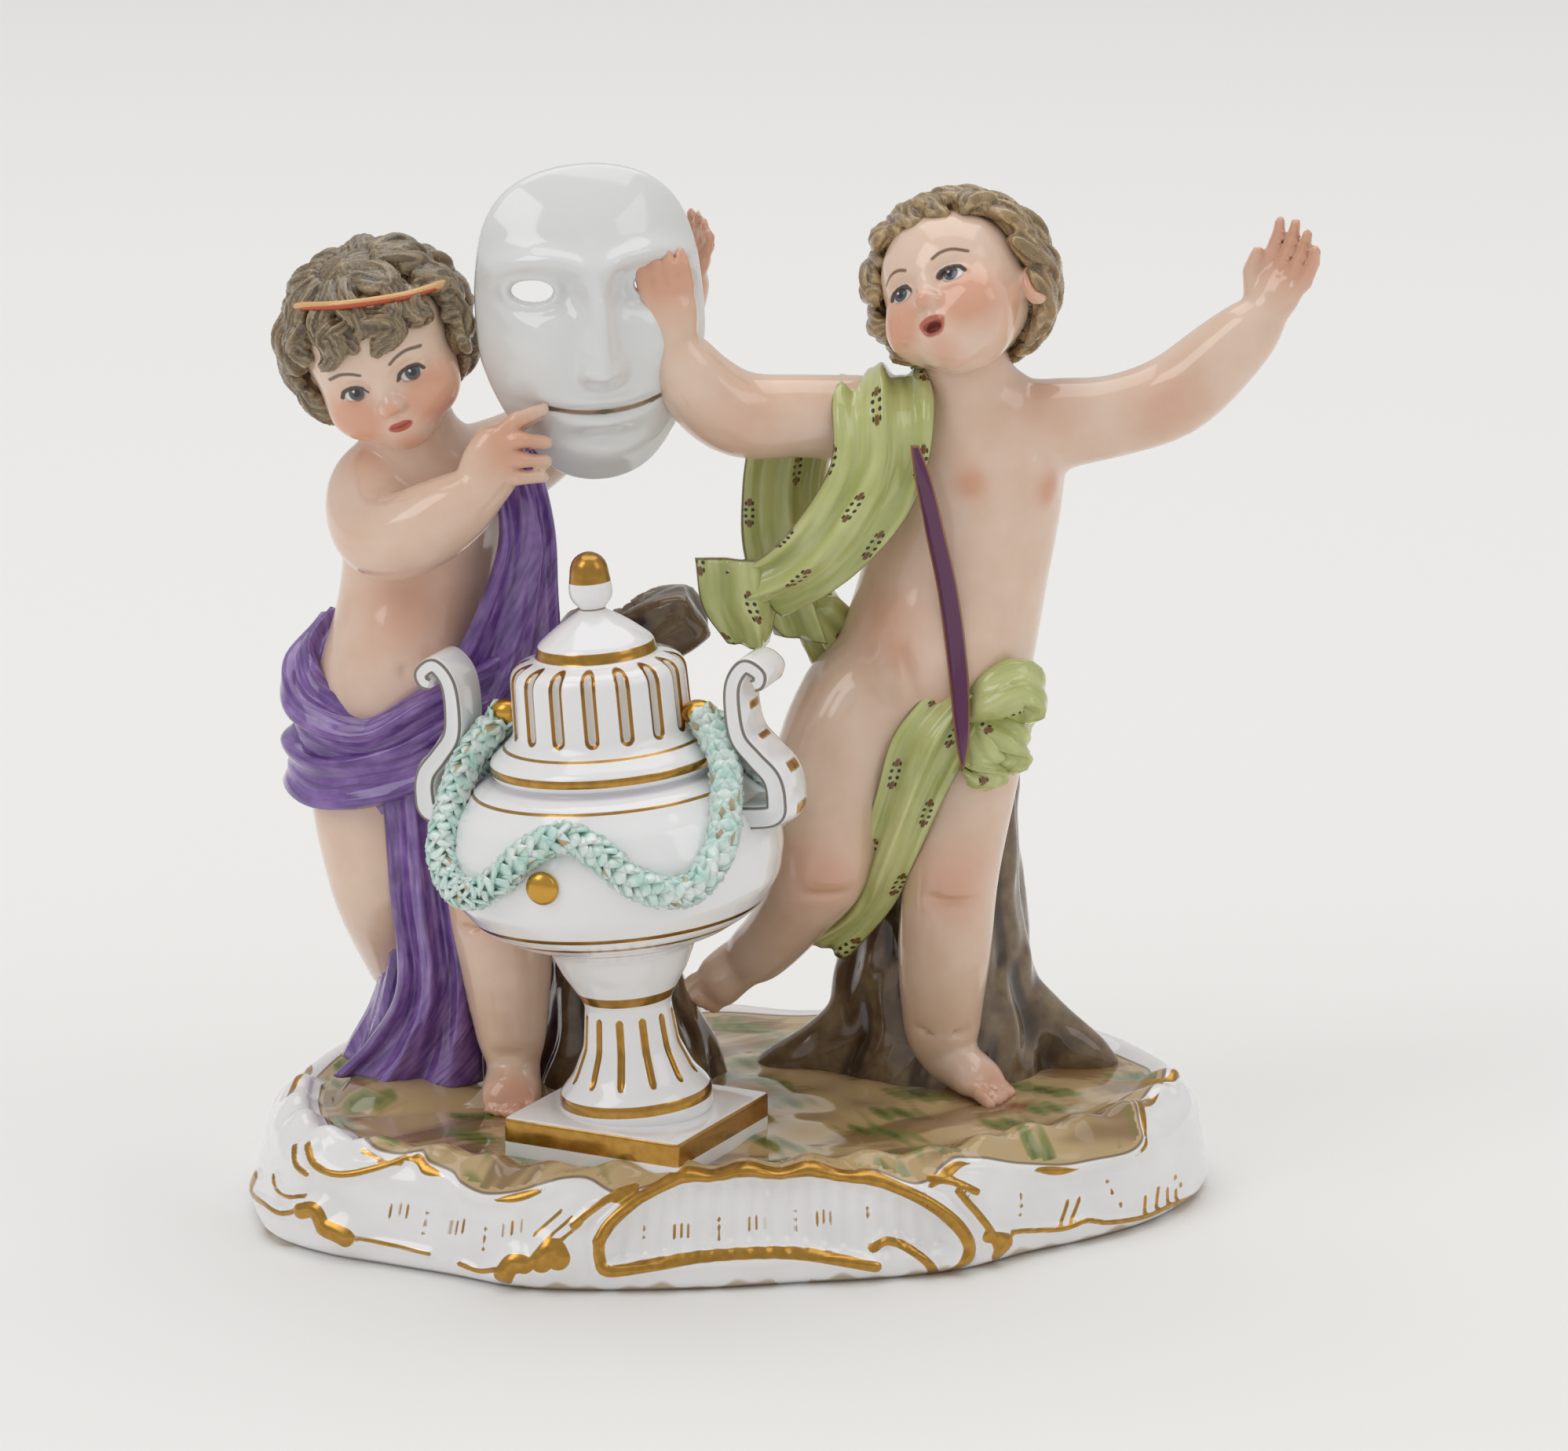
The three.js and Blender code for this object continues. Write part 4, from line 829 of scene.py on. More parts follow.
def garland():
    """Two swags of laurel on a round core, in rings of six leaves that all point one way."""
    whole = [(-a, z) for a, z in FESTOON[:0:-1]] + FESTOON
    core, sides, ring_step, leaves = 1.35, 10, 1.5, 6
    points, faces, fleck = [], [], []
    for half_turn in (0, 180):
        path = []
        for a, z in whole:
            azimuth = math.radians(a + half_turn + 5 * math.cos(math.radians(a)))
            reach = max(float(urn_radius(z)), 13.4) + 1.1 + 2 * bell(z - 49, 4)
            path.append((reach * math.sin(azimuth), -reach * math.cos(azimuth), z))
        path = spline(path, 12)
        ahead = units(np.gradient(path, axis=0))
        away = path * (1, 1, 0)
        away = units(away - ahead * (away * ahead).sum(1)[:, None])
        beside = np.cross(ahead, away)
        start = len(points)
        for p, q, r in zip(path, away, beside):
            points += [p + core * (math.cos(a) * q + math.sin(a) * r)
                       for a in np.linspace(0, 2 * math.pi, sides, endpoint=False)]
        faces += flat_ended(len(path), sides, start)
        fleck += [0.5] * (len(points) - start)
        walked = lengths(path)
        for k, s in enumerate(np.arange(1.0, walked[-1] - 1.0, ring_step)):
            here = np.array([np.interp(s, walked, path[:, i]) for i in range(3)])
            next_to = np.array([np.interp(s + 0.5, walked, path[:, i]) for i in range(3)])
            along = unit(next_to - here)
            out = square_to(unit(here * (1, 1, 0)), along)
            side = np.cross(along, out)
            for j in range(leaves):
                turn = (j + (k % 2) / 2) * 2 * math.pi / leaves + rng.uniform(-0.15, 0.15)
                radial = math.cos(turn) * out + math.sin(turn) * side
                root = here + radial * 0.7
                tip = here + radial * 2.0 + along * rng.uniform(2.2, 2.9)
                direction = unit(tip - root)
                lift = unit(radial - direction * (radial @ direction))
                more, quads = leaf(root, tip, np.cross(direction, lift), lift, rng.uniform(1.5, 1.9))
                start = len(points)
                points += more
                faces += [[i + start for i in f] for f in quads]
                tone = rng.uniform(0, 1)
                fleck += [tone + 0.25 * (i % LEAF_SIDES == 2) for i in range(len(more))]
    # The near-white cloud over the turquoise is painted highlight, strewn in soft patches over the leaves
    material = glazed("enamelled_laurel_turquoise", "#BFE6DA", cloud=(2.2, "#F8FBF8", 0.95), coats=[
        ("fleck", 1.02, 2, 0.12, "#B08A48", 0.75)])
    return turned_out(piece("garland", in_urn(points), faces, material, {"fleck": fleck}))


# The mask: a face-shaped shell, open behind and pierced at the eyes

def mask_front(u, v):
    """Depth of the mask's front, as a share of the greatest, at u across and v up, each from -1 to 1."""
    across, up = MASK["eye"]
    wide = np.abs(u)
    dome = 1 - np.minimum(u * u + v * v, 1) ** 1.25
    bridge = np.where(v > up + 0.1, bell(v - up - 0.1, 0.14), 1)
    ridge = np.where(v > -0.25, 1 - 0.55 * np.clip((v + 0.25) / 0.6, 0, 1), bell(v + 0.25, 0.08)) * bridge
    nose = (0.42 * bell(u, 0.12 + 0.05 * np.clip(0.1 - v, 0, 1)) * ridge
            + 0.13 * bell(wide - 0.15, 0.07) * bell(v + 0.22, 0.075))
    brow = (0.16 * bell(v - up - 0.2 + 0.5 * (wide - 0.45) ** 2, 0.075) * ramp(wide, 0.02, 0.16)
            * (1 - ramp(wide, 0.8, 1)))
    socket = (-0.3 * bell(wide - across + 0.06, 0.28) * bell(v - up + 0.01, 0.12)
              - 0.1 * bell(wide - 0.22, 0.1) * bell(v - up, 0.12))
    lid = np.sqrt(((wide - across) / 0.22) ** 2 + ((v - up) / 0.085) ** 2)
    rim = 0.09 * bell(lid - 1.0, 0.2)
    curve = 0.14 * (u + 0.05) ** 2
    lips = (0.11 * bell(u, 0.36) * bell(v + 0.43 - curve, 0.045)
            + 0.14 * bell(u, 0.32) * bell(v + 0.575 - curve, 0.055))
    groove = -0.06 * bell(u, 0.62) * bell(v + 0.5 - curve, 0.022)
    fold = 0.03 * bell(wide - 0.56 - 0.35 * (v + 0.4), 0.08) * bell(v + 0.36, 0.2)
    chin = (0.13 * bell(u, 0.36) * bell(v + 0.8, 0.1) + 0.08 * bell(wide - 0.5, 0.2) * bell(v + 0.7, 0.14)
            - 0.08 * bell(u, 0.3) * bell(v + 0.67, 0.05))
    cheeks = 0.1 * bell(wide - 0.55, 0.2) * bell(v + 0.12, 0.2)
    return dome + nose + brow + socket + rim + lips + groove + fold + chin + cheeks


def mask():
    half_x, half_z = MASK["half"]
    across, up = MASK["eye"]
    clay = Clay((-20, -17, -24), (20, 6, 24), CELL["mask"])
    x, y, z = clay.axes[0][:, None, None], clay.axes[1][None, :, None], clay.axes[2][None, None, :]
    v = z / half_z
    taper = np.where(v < 0, 1 - 0.24 * v * v + 0.3 * v**6, 1 + 0.36 * v * v + 0.1 * v**6)
    u = x / half_x / taper
    front = MASK["depth"] * mask_front(u, v)
    inside = 1 - np.minimum((u / 0.9) ** 2 + (v / 0.93) ** 2, 1) ** 1.25
    back = (MASK["depth"] - 1) * inside - MASK["wall"]
    slope_x, slope_z = np.gradient(front[:, 0, :], clay.cell)
    slope = np.sqrt(1 + slope_x**2 + slope_z**2)[:, None, :]
    reach = (np.sqrt(u * u + v * v) - 1) * half_x
    clay.field = np.maximum(np.maximum((-y - front) / slope, (back + y) / np.sqrt(slope)),
                            reach).astype(np.float32)
    for side in (-1, 1):
        clay.cut([ball((side * across * half_x, -7, up * half_z), (2.8, 12, 1.5))], 0.4)
    points, faces = clay.skin()
    points = relaxed(points, faces, 2, 0.4)
    px, py, pz = points.T
    smile = from_line(px, pz, [(-8, -10), (-4, -10.75), (0, -10.95), (4, -10.7), (7, -10.1), (9, -9.3)])
    smile = np.where(py < -2, smile, 9)
    green = smile + 0.5 * np.abs(np.sin(0.45 * px))
    turn = turned(MASK["yaw"], 0, MASK["roll"])
    # The mask's white is a little greyer than the other porcelain: painted shade over the whole mask
    material = glazed("hard_paste_porcelain_mask_painted_shade", "#E6E7E6", coats=[
        ("smile", -1, 0.34, 0.3, "#8C6230", 0.9), ("green", -1, 0.4, 0.2, "#4E4A22", 0.7)])
    return piece("mask", points @ turn.T + MASK["centre"], faces, material, {"smile": smile, "green": green})


# The putti's bodies: soft, rounded limbs that melt into each other

def hand(wrist, towards, palm, bend=0.6, thumb=1, size=1.0, spread=1.0, stretch=1.0):
    """A hand: palm, four fingers that bend to the palm's side, and a thumb to the side of its sign."""
    along = unit(towards)
    face = square_to(palm, along)
    across = np.cross(along, face) * thumb
    frame_of = np.column_stack([along, face, across])

    def at(p):
        return frame_of @ (np.asarray(p, float) * size) + wrist
    forms = []
    for s, long in ((-2.4, 4.1), (-0.85, 4.9), (0.75, 5.1), (2.3, 4.5)):
        fan = 1.1 + 0.12 * spread
        long *= stretch
        joints = [at((3.6, 0, s * 0.9)), at((5.6 + long * 0.12, bend * 0.2, s * fan)),
                  at((5.7 + long * 0.62, bend * 1.1, s * fan * 1.03)),
                  at((5.4 + long, bend * 2.6, s * fan * 1.05))]
        for a, b, ra, rb in zip(joints[:-1], joints[1:], (1.15, 1.02, 0.92), (1.02, 0.92, 0.72)):
            forms.append(bone(a, b, ra * size, rb * size))
    joints = [at((0.8, 0.4, 1.8)), at((3.6, 1.2, 2.4 + 1.5 * min(spread, 1))),
              at((6.4, 1.9, 2.4 + 2.1 * min(spread, 0.8)))]
    forms += [bone(joints[0], joints[1], 1.6 * size, 1.15 * size),
              bone(joints[1], joints[2], 1.15 * size, 0.8 * size)]
    rows = [[*at((-0.6, 0, 0)), 2.5, 2.1], [*at((2.4, 0, 0)), 3.2, 1.8], [*at((4.6, 0, 0)), 3.2, 1.35]]
    palms = [[*r[:3], r[3] * size, r[4] * size] for r in rows]
    return forms, limb(palms, across, 3)


def foot(heel, toes, width=3.3, big_toe=1, side=None):
    """A foot from heel to toes; big_toe is the sign of the side that the big toe is on."""
    heel, toes = np.asarray(heel, float), np.asarray(toes, float)
    along = unit(toes - heel)
    reach = np.linalg.norm(toes - heel)
    side = unit(np.cross(along, (0, 0, 1))) if side is None else square_to(side, along)
    up = np.cross(side, along)
    frame_of = np.column_stack([along, side, up])

    def at(p):
        return frame_of @ np.asarray(p, float) + heel
    sole = limb([[*at((0, 0, 0.5)), width * 0.85, 2.8], [*at((reach * 0.42, 0, 0.3)), width * 0.95, 2.4],
                 [*at((reach * 0.7, 0, -0.7)), width * 0.96, 1.3]], side, 4)
    toe_forms = []
    for i, share in enumerate((-1, -0.42, 0.06, 0.5, 0.9)):
        size = 0.98 - 0.07 * i
        across = big_toe * share * width * 0.9
        root = at((reach * 0.66, across * 0.9, -0.8))
        knuckle = at((reach * 0.88 - 0.4 * i, across, -0.6))
        tip = at((reach + 1.1 - 0.55 * i, across * 1.04, -1.3))
        toe_forms += [bone(root, knuckle, size * 0.9, size * 0.95), bone(knuckle, tip, size * 0.95, size)]
    return sole, toe_forms


# how far each part melts into the rest, in millimetres
MELT = {"torso": 2.6, "limb": 2.2, "pad": 3.0, "palm": 1.0, "finger": 0.28, "sole": 1.6, "toe": 0.2,
        "dent": 1.0}


def body(name, box, torso, limbs, hands, feet, pads, dents, blushes):
    """A putto's body in one skin; blushes are (centre, reach, depth) of warmer enamel."""
    clay = Clay(*box, CELL["body"])
    for form in torso:
        clay.add(form, MELT["torso"])
    for form in limbs:
        clay.add(form, MELT["limb"])
    clay.add(pads, MELT["pad"])
    for fingers, palm in hands:
        clay.add(palm, MELT["palm"]).add(fingers, MELT["finger"])
    for sole, toes in feet:
        clay.add(sole, MELT["sole"]).add(toes, MELT["toe"])
    clay.cut(dents, MELT["dent"])
    points, faces = clay.skin()
    points = relaxed(points, faces, 2, 0.35)
    blush = np.zeros(len(points))
    for centre, reach, depth in blushes:
        away = np.linalg.norm(points - centre, axis=1)
        blush = np.maximum(blush, depth * bell(away, reach))
    material = glazed("enamelled_skin_" + name, SKIN, cloud=(7, SKIN_SHADE, 0.6), coats=[
        ("blush", 0.1, 3, 0.9, "#D98F6B", 0.7)], gloss=SKIN_GLOSS)
    return piece(name, points, faces, material, {"blush": blush})


def pinch():
    """The hand that pinches the mask's edge, its fingers stacked one above the other."""
    palm = limb([[-34, -11.8, 102.4, 3, 2.8], [-32.2, -11.8, 106.4, 3.9, 2.5], [-31.2, -11.6, 110.2, 3, 2.1]])
    lines = [[(-31.6, -12, 110.8, 1.2), (-28.6, -12.6, 113.2, 1.15), (-24.9, -11, 114.4, 0.95)],
             [(-31.2, -12.8, 109.9, 1.15), (-28, -13.4, 110.6, 1.15), (-24.6, -11.6, 109.9, 1.0)],
             [(-31.2, -12.8, 107.6, 1.15), (-28, -13.6, 107.8, 1.1), (-24.6, -11.8, 107.4, 0.95)],
             [(-31.4, -12.6, 105.3, 1.1), (-28.4, -13.2, 105.3, 1.05), (-25, -11.8, 105.2, 0.9)],
             [(-31.6, -9.8, 109, 1.4), (-28.4, -9, 112, 1.2), (-25.6, -8.4, 113.2, 0.95)]]
    fingers = [bone(p[:3], q[:3], p[3], q[3]) for line in lines for p, q in zip(line[:-1], line[1:])]
    return fingers, palm


def left_body():
    side = (0.3, 0.2, 1)
    torso = [limb([[-46.2, 4.2, 61, 11.8, 10.2], [-46, 4.2, 69, 12.2, 10.8], [-44.4, 4.4, 79, 10.2, 9.6],
                   [-42.8, 4.3, 91, 9.9, 8.6], [-42.6, 4, 101, 11.2, 6.8], [-43.4, 3.4, 106, 6, 5.2]]),
             limb([[-43.6, 3.2, 104, 5.2], [-45, 2, 114, 5.2]])]
    limbs = [limb([[-49.4, 4, 66, 9], [-49.4, 1.5, 55.5, 8.2], [-48.6, 0, 45.5, 6.7], [-47.6, 5, 37.5, 5.7],
                   [-46.6, 12, 28, 3.8]]),
             limb([[-41, 3.5, 66, 9], [-36.6, -1, 55.5, 8], [-33.4, -5, 45, 6.5], [-31.4, -5.4, 35, 5.9],
                   [-30.3, -6.4, 20.5, 3.7]]),
             limb([[-45, 5, 101, 4.6], [-48.8, 1.6, 100.6, 5.6], [-48.8, -3.4, 97, 5.3],
                   [-45.8, -8.6, 95.8, 5], [-40, -11, 98.8, 4.7], [-34.2, -11.8, 102.6, 3.2]], side),
             limb([[-41, 4, 100, 4.6], [-34.6, 6.4, 101.8, 6.2], [-26, 11, 106, 5.1],
                   [-17.4, 12.6, 113.6, 4.8], [-10.2, 11, 122, 4.2], [-5.8, 7.6, 129, 3.1]], (0, 1, 0))]
    hands = [pinch(), hand((-5.4, 7, 130.6), (0.28, -0.3, 0.85), (-0.75, -0.6, 0.1), 0.5, -1, 0.84, 0.6)]
    feet = [foot((-46.8, 12.6, 24.5), (-51.2, 12.6, 19.5), 3.0),
            foot((-30.2, -6.4, 17.6), (-30.6, -15.2, 16.6), 3.6)]
    pads = [ball((-44.8, -2.6, 78), (7.4, 5.2, 8)), ball((-46.4, -3.4, 96), (4.4, 2.4, 3.6)),
            ball((-38.4, -2.6, 96), (4.4, 2.4, 3.6)), ball((-51, 10.4, 66), (6.8, 6.4, 7)),
            ball((-41, 10.8, 66), (6.8, 6.4, 7))]
    dents = [ball((-44.8, -8.4, 77), (0.6, 0.9, 0.8)), bone((-37, -11, 41), (-29, -12.2, 41.4), 0.35, 0.35),
             bone((-34, -10.4, 22.6), (-27, -10.6, 22.6), 0.3, 0.3)]
    blushes = [((-46.4, -6.4, 95.6), 2.0, 0.7), ((-33, -11, 45), 5, 0.4), ((-29, -13, 110), 4, 0.7),
               ((-49, -6, 94), 5, 0.3), ((-30.6, -15, 16), 4, 0.8), ((-3, 4, 135), 6, 1.0),
               ((-44, -7, 86), 8, 0.3), ((-50, 1, 104), 5, 0.3), ((-52, 10, 22), 5, 0.6),
               ((-37, -12, 100), 4, 0.3)]
    return body("left_body", ((-72, -24, 11), (4, 24, 142)), torso, limbs, hands, feet, pads, dents, blushes)


def right_body():
    torso = [limb([[27, 3.8, 61, 11.4, 9.2], [27.2, 3.6, 69.5, 13, 10], [29.6, 2.6, 79, 12.3, 10.6],
                   [32, 2.4, 90, 11.7, 9.2], [34.4, 1.8, 101, 11.2, 8.4], [34.2, 2, 109, 11.2, 6.6],
                   [33.4, 2, 113.6, 6.4, 5]]),
             limb([[33.2, 1.8, 111, 5.2], [32.6, 1, 121, 5.1]])]
    limbs = [limb([[19.4, 3, 70, 9.3], [14.8, 0.4, 59.5, 8.1], [13.4, -2.5, 48.6, 6.3], [9.4, 1.6, 40.4, 4.5],
                   [6, 5.6, 34.8, 3.7], [2.8, 8.6, 31, 3.2]]),
             limb([[32.4, 3, 68, 9], [32, 0.5, 57, 7.2], [31.2, -2.3, 46.6, 5.9], [30.5, -1, 36, 5.8],
                   [30.2, 0.8, 27, 4.9], [30.3, 2, 20.4, 4]]),
             limb([[29, 2, 107, 4.6], [21.6, 1.6, 110, 5.6], [11, -0.8, 111.6, 4.9], [2, -2.6, 112, 5],
                   [-3.6, -4.6, 116, 4.5], [-6.8, -6.6, 121.4, 3.2]], (0, 1, 0)),
             limb([[38, 2, 107, 4.6], [44.4, 1.8, 109.8, 5.4], [53, 2.6, 110.8, 4.8], [61.6, 3, 113.6, 4.9],
                   [68, 2, 119.2, 4.4], [73.6, 1, 124.8, 3.1]], (0, 1, 0))]
    hands = [hand((-7.1, -7.2, 123.6), (-0.16, -0.08, 0.95), (-0.25, 0.9, 0), 0.5, 1, 1.08, 0.4, 1.2),
             hand((74, 1, 125.8), (0.44, -0.12, 0.88), (-0.5, -0.75, 0.3), 0.8, -1, 1.08, 1.8, 1.35)]
    feet = [foot((3, 9.4, 31), (-4.8, 7.8, 25.6), 3.3, 1, np.array((0.5, 0.3, -0.8))),
            foot((30.5, 2.4, 17.6), (38.6, -7.4, 16.5), 3.5, -1)]
    pads = [ball((30.2, -4.6, 80), (8.6, 5.4, 9)), ball((29.6, -3.6, 103), (5, 2.6, 4)),
            ball((39.6, -3.4, 103), (5, 2.6, 4)), ball((22, 8.6, 69), (7.4, 7, 7.4)),
            ball((32, 9.6, 68), (7, 6.6, 7.2))]
    dents = [bone((22.2, -10, 86), (26.6, -9.4, 71), 0.6, 0.5),
             bone((60.6, -3.4, 110), (60.2, -3, 118), 0.3, 0.3),
             bone((26, -8.6, 44.6), (36, -8, 44), 0.35, 0.35),
             bone((26.4, -3, 24), (34, -3.4, 23.6), 0.35, 0.35),
             bone((8.6, -8.6, 45), (17, -8.2, 45.4), 0.3, 0.3)]
    blushes = [((33.4, -6.6, 103.2), 2.0, 0.7), ((44.2, -4.4, 102), 2.0, 0.7), ((24, -8, 80), 3, 0.4),
               ((13, -8, 48.6), 5, 0.4), ((31, -8.6, 46.6), 5, 0.4), ((40, -8, 16), 5, 0.9),
               ((-4, 11, 24), 4, 0.8), ((79, -1, 135), 6, 0.7), ((-8, -9, 134), 5, 1.0),
               ((61, -2, 113), 5, 0.25), ((2, -8, 112), 5, 0.2), ((31, -9, 70), 6, 0.3),
               ((20, -8, 84), 6, 0.35), ((43, 0, 112), 5, 0.3)]
    return body("right_body", ((-14, -18, 11), (88, 20, 142)), torso, limbs, hands, feet, pads, dents,
                blushes)


# Heads: a child's round skull with full cheeks. In its own frame the face looks to -Y and one radius is 1

EYE_AT = 0.34  # how far each eye is from the middle of the face, as a share of the head's radius


def face_forms(r, mouth_open):
    """The forms of a child's head of radius r. Every place and size here is a share of r."""
    def b(c, s):
        return ball(np.array(c) * r, np.array(s) * r)

    def bar(p, q, a, c):
        return bone(np.array(p) * r, np.array(q) * r, a * r, c * r)
    both = (-1, 1)
    skull = [b((0, 0.06, 0.16), (0.86, 0.92, 0.86)), b((0, -0.24, -0.26), (0.68, 0.62, 0.68)),
             b((0, -0.3, 0.34), (0.64, 0.57, 0.56))]
    soft = [b((-s * 0.4, -0.52, -0.38), (0.33, 0.32, 0.32)) for s in both]
    soft += [b((0, -0.62, -0.8), (0.24, 0.21, 0.16)), b((0, -0.6, -0.55), (0.3, 0.3, 0.2))]
    nose = [bar((0, -0.8, 0.02), (0, -0.96, -0.24), 0.06, 0.085), b((0, -1.0, -0.27), (0.095, 0.095, 0.085))]
    nose += [b((-s * 0.095, -0.91, -0.3), (0.065, 0.085, 0.055)) for s in both]
    if mouth_open:
        lips = [bar((s * 0.18, -0.84, -0.5), (0, -0.93, -0.46), 0.035, 0.045) for s in both]
        lips += [bar((-0.11, -0.84, -0.7), (0.11, -0.84, -0.7), 0.055, 0.055)]
        lips += [bar((s * 0.18, -0.82, -0.51), (s * 0.11, -0.84, -0.69), 0.03, 0.04) for s in both]
    else:
        lips = [bar((s * 0.13, -0.85, -0.525), (0, -0.92, -0.5), 0.03, 0.042) for s in both]
        lips += [bar((-0.08, -0.87, -0.6), (0.08, -0.87, -0.6), 0.048, 0.048)]
    sockets = [b((s * EYE_AT, -0.98, -0.01), (0.19, 0.16, 0.11)) for s in both]
    eyes = [b((s * EYE_AT, -0.67, -0.04), (0.15, 0.16, 0.115)) for s in both]
    lids, ears = [], []
    for s in both:
        arc = [(s * EYE_AT + 0.165 * math.cos(a), -0.835 + 0.06 * s * math.cos(a),
                -0.04 + 0.085 * math.sin(a)) for a in np.linspace(0.0, 3.14, 8)]
        lids += [bar(p, q, 0.022, 0.022) for p, q in zip(arc[:-1], arc[1:])]
        ring = [(s * 0.95, 0.02 + 0.13 * math.sin(a), -0.18 + 0.2 * math.cos(a))
                for a in np.linspace(-0.6, 3.6, 9)]
        ears += [b((s * 0.88, 0.02, -0.2), (0.09, 0.15, 0.22))]
        ears += [bar(p, q, 0.045, 0.045) for p, q in zip(ring[:-1], ring[1:])]
    concha = [b((s * 1.0, -0.03, -0.18), (0.07, 0.07, 0.12)) for s in both]
    return skull, soft, nose, lips, sockets, eyes, lids, ears, concha


def from_head(points, spec):
    """From a head's own frame to its place and tilt on the neck."""
    turn = turned(spec["yaw"], spec["pitch"], spec["roll"])
    return points @ turn.T + spec["centre"]


def head(name, spec, mouth_open, iris, brow_tint):
    """A head with its painted face; iris is how far the eyes look aside and up.

    The lengths are shares of the head's radius."""
    r = spec["radius"]
    skull, soft, nose, lips, sockets, eyes, lids, ears, concha = face_forms(r, mouth_open)
    clay = Clay((-15, -15, -15), (15, 14, 15), CELL["head"])
    clay.add(skull, 0.3 * r).add(soft, 0.28 * r)
    clay.cut(sockets, 0.14 * r)
    clay.add(nose, 0.1 * r).add(eyes, 0.04 * r).add(lids, 0.03 * r)
    clay.add(lips, 0.05 * r).add(ears, 0.05 * r).cut(concha, 0.06 * r)
    if mouth_open:
        clay.cut([ball(np.array((0, -0.95, -0.6)) * r, np.array((0.1, 0.11, 0.05)) * r)], 0.03 * r)
    else:
        corner = np.array((0.13, -0.9, -0.55)) * r
        clay.cut([bone(corner * (-1, 1, 1), corner, 0.01 * r, 0.01 * r)], 0.04 * r)
    points, faces = clay.skin()
    points = relaxed(points, faces, 1, 0.3)
    x, y, z = (points / r).T
    front = y < -0.45
    marks = {mark: np.full(len(x), -9.0) for mark in ("eye", "pupil", "glint")}
    lines = {mark: np.full(len(x), 9.0) for mark in ("lid", "under", "brow")}
    turn = np.linspace(-1, 1, 9)
    for s in (-1, 1):
        u, v = (x - s * EYE_AT) / 0.15, (z + 0.042) / 0.082
        aside, up = x - s * EYE_AT - iris[0], z - iris[1]
        spots = {"eye": 1 - np.sqrt(u * u + (v * (1 + 0.25 * u * u)) ** 2),
                 "pupil": 0.09 - np.hypot(aside, up + 0.03), "glint": 0.018 - np.hypot(aside + 0.025, up)}
        paths = {"lid": [(s * EYE_AT + 0.15 * c, -0.042 + 0.086 * math.sqrt(1 - c * c)) for c in turn],
                 "under": [(s * EYE_AT + 0.135 * c, -0.042 - 0.08 * math.sqrt(1 - c * c)) for c in turn],
                 "brow": [(s * 0.18, 0.19), (s * 0.28, 0.235), (s * 0.41, 0.245), (s * 0.55, 0.19)]}
        for mark, inside in spots.items():
            marks[mark] = np.maximum(marks[mark], np.where(front, inside, -9))
        for mark, path in paths.items():
            lines[mark] = np.minimum(lines[mark], np.where(front, from_line(x, z, path), 9))
    before = y < -0.6
    if mouth_open:
        half = np.interp(z, (-0.7, -0.5), (0.12, 0.185))
        mouth, inner = (np.where(before, 1 - (np.abs(x / half * narrow) ** 3
                                              + np.abs((z + low) / high) ** 3) ** (1 / 3), -9)
                        for narrow, low, high in ((1, 0.59, 0.115), (1.3, 0.605, 0.072)))
    else:
        mouth = np.where(before, 1 - np.sqrt((x / 0.145) ** 2 + ((z + 0.55) / 0.065) ** 2), -9)
        inner = np.where(before & (np.abs(x) < 0.13), 0.012 - np.abs(z + 0.548 - 0.5 * x * x), -9)
    blush = np.zeros(len(x))
    # cheeks, nose, chin and ears: depth, distance, reach, where it may lie
    for depth, away, reach, where in (
            (1, np.hypot(x - 0.46, z + 0.36), 0.27, y < -0.1),
            (1, np.hypot(x + 0.46, z + 0.36), 0.27, y < -0.1),
            (0.5, np.hypot(x, z + 0.28), 0.12, front), (0.35, np.hypot(x, z + 0.85), 0.18, front),
            (0.5, np.hypot(z + 0.2, y), 0.25, np.abs(x) > 0.85)):
        blush = np.maximum(blush, depth * bell(away, reach) * where)
    layers = {**marks, **lines, "mouth": mouth, "inner": inner, "blush": blush}
    lip, deep = ("#BB5640", "#86382A") if mouth_open else ("#BE3F2C", "#742619")
    material = glazed("enamelled_skin_" + name, SKIN, cloud=(7, SKIN_SHADE, 0.4), coats=[
        ("blush", 0.12, 9, 0.9, "#DD8458", 0.62), ("eye", 0, 9, 0.2, "#EDEBE6", 0.85),
        ("pupil", 0, 9, 0.02, "#3D4450", 0.95), ("pupil", 0.045, 9, 0.02, "#141317", 0.95),
        ("glint", 0, 9, 0.012, "#FFFFFF", 0.9), ("under", -1, 0.01, 0.014, "#B06A4C", 0.6),
        ("lid", -1, 0.026, 0.016, "#3E2A22", 0.95), ("brow", -1, 0.02, 0.022, brow_tint, 0.9),
        ("mouth", 0, 9, 0.25, lip, 0.9), ("inner", 0, 9, 0.02, deep, 0.85)], gloss=SKIN_GLOSS)
    return piece(name, from_head(points, spec), faces, material, layers)


def on_head(azimuth, height, r, out):
    """A point over the skull: azimuth in degrees from the face to the head's left side, height from -1 to 1.

    out is its distance from the skull in mm."""
    a = math.radians(azimuth)
    ring = math.sqrt(max(1 - height * height, 0))
    p = np.array([0.87 * ring * math.sin(a), 0.06 - 0.93 * ring * math.cos(a), 0.14 + 0.88 * height])
    n = unit(p - (0, 0.05, 0.1))
    return p * r + n * out


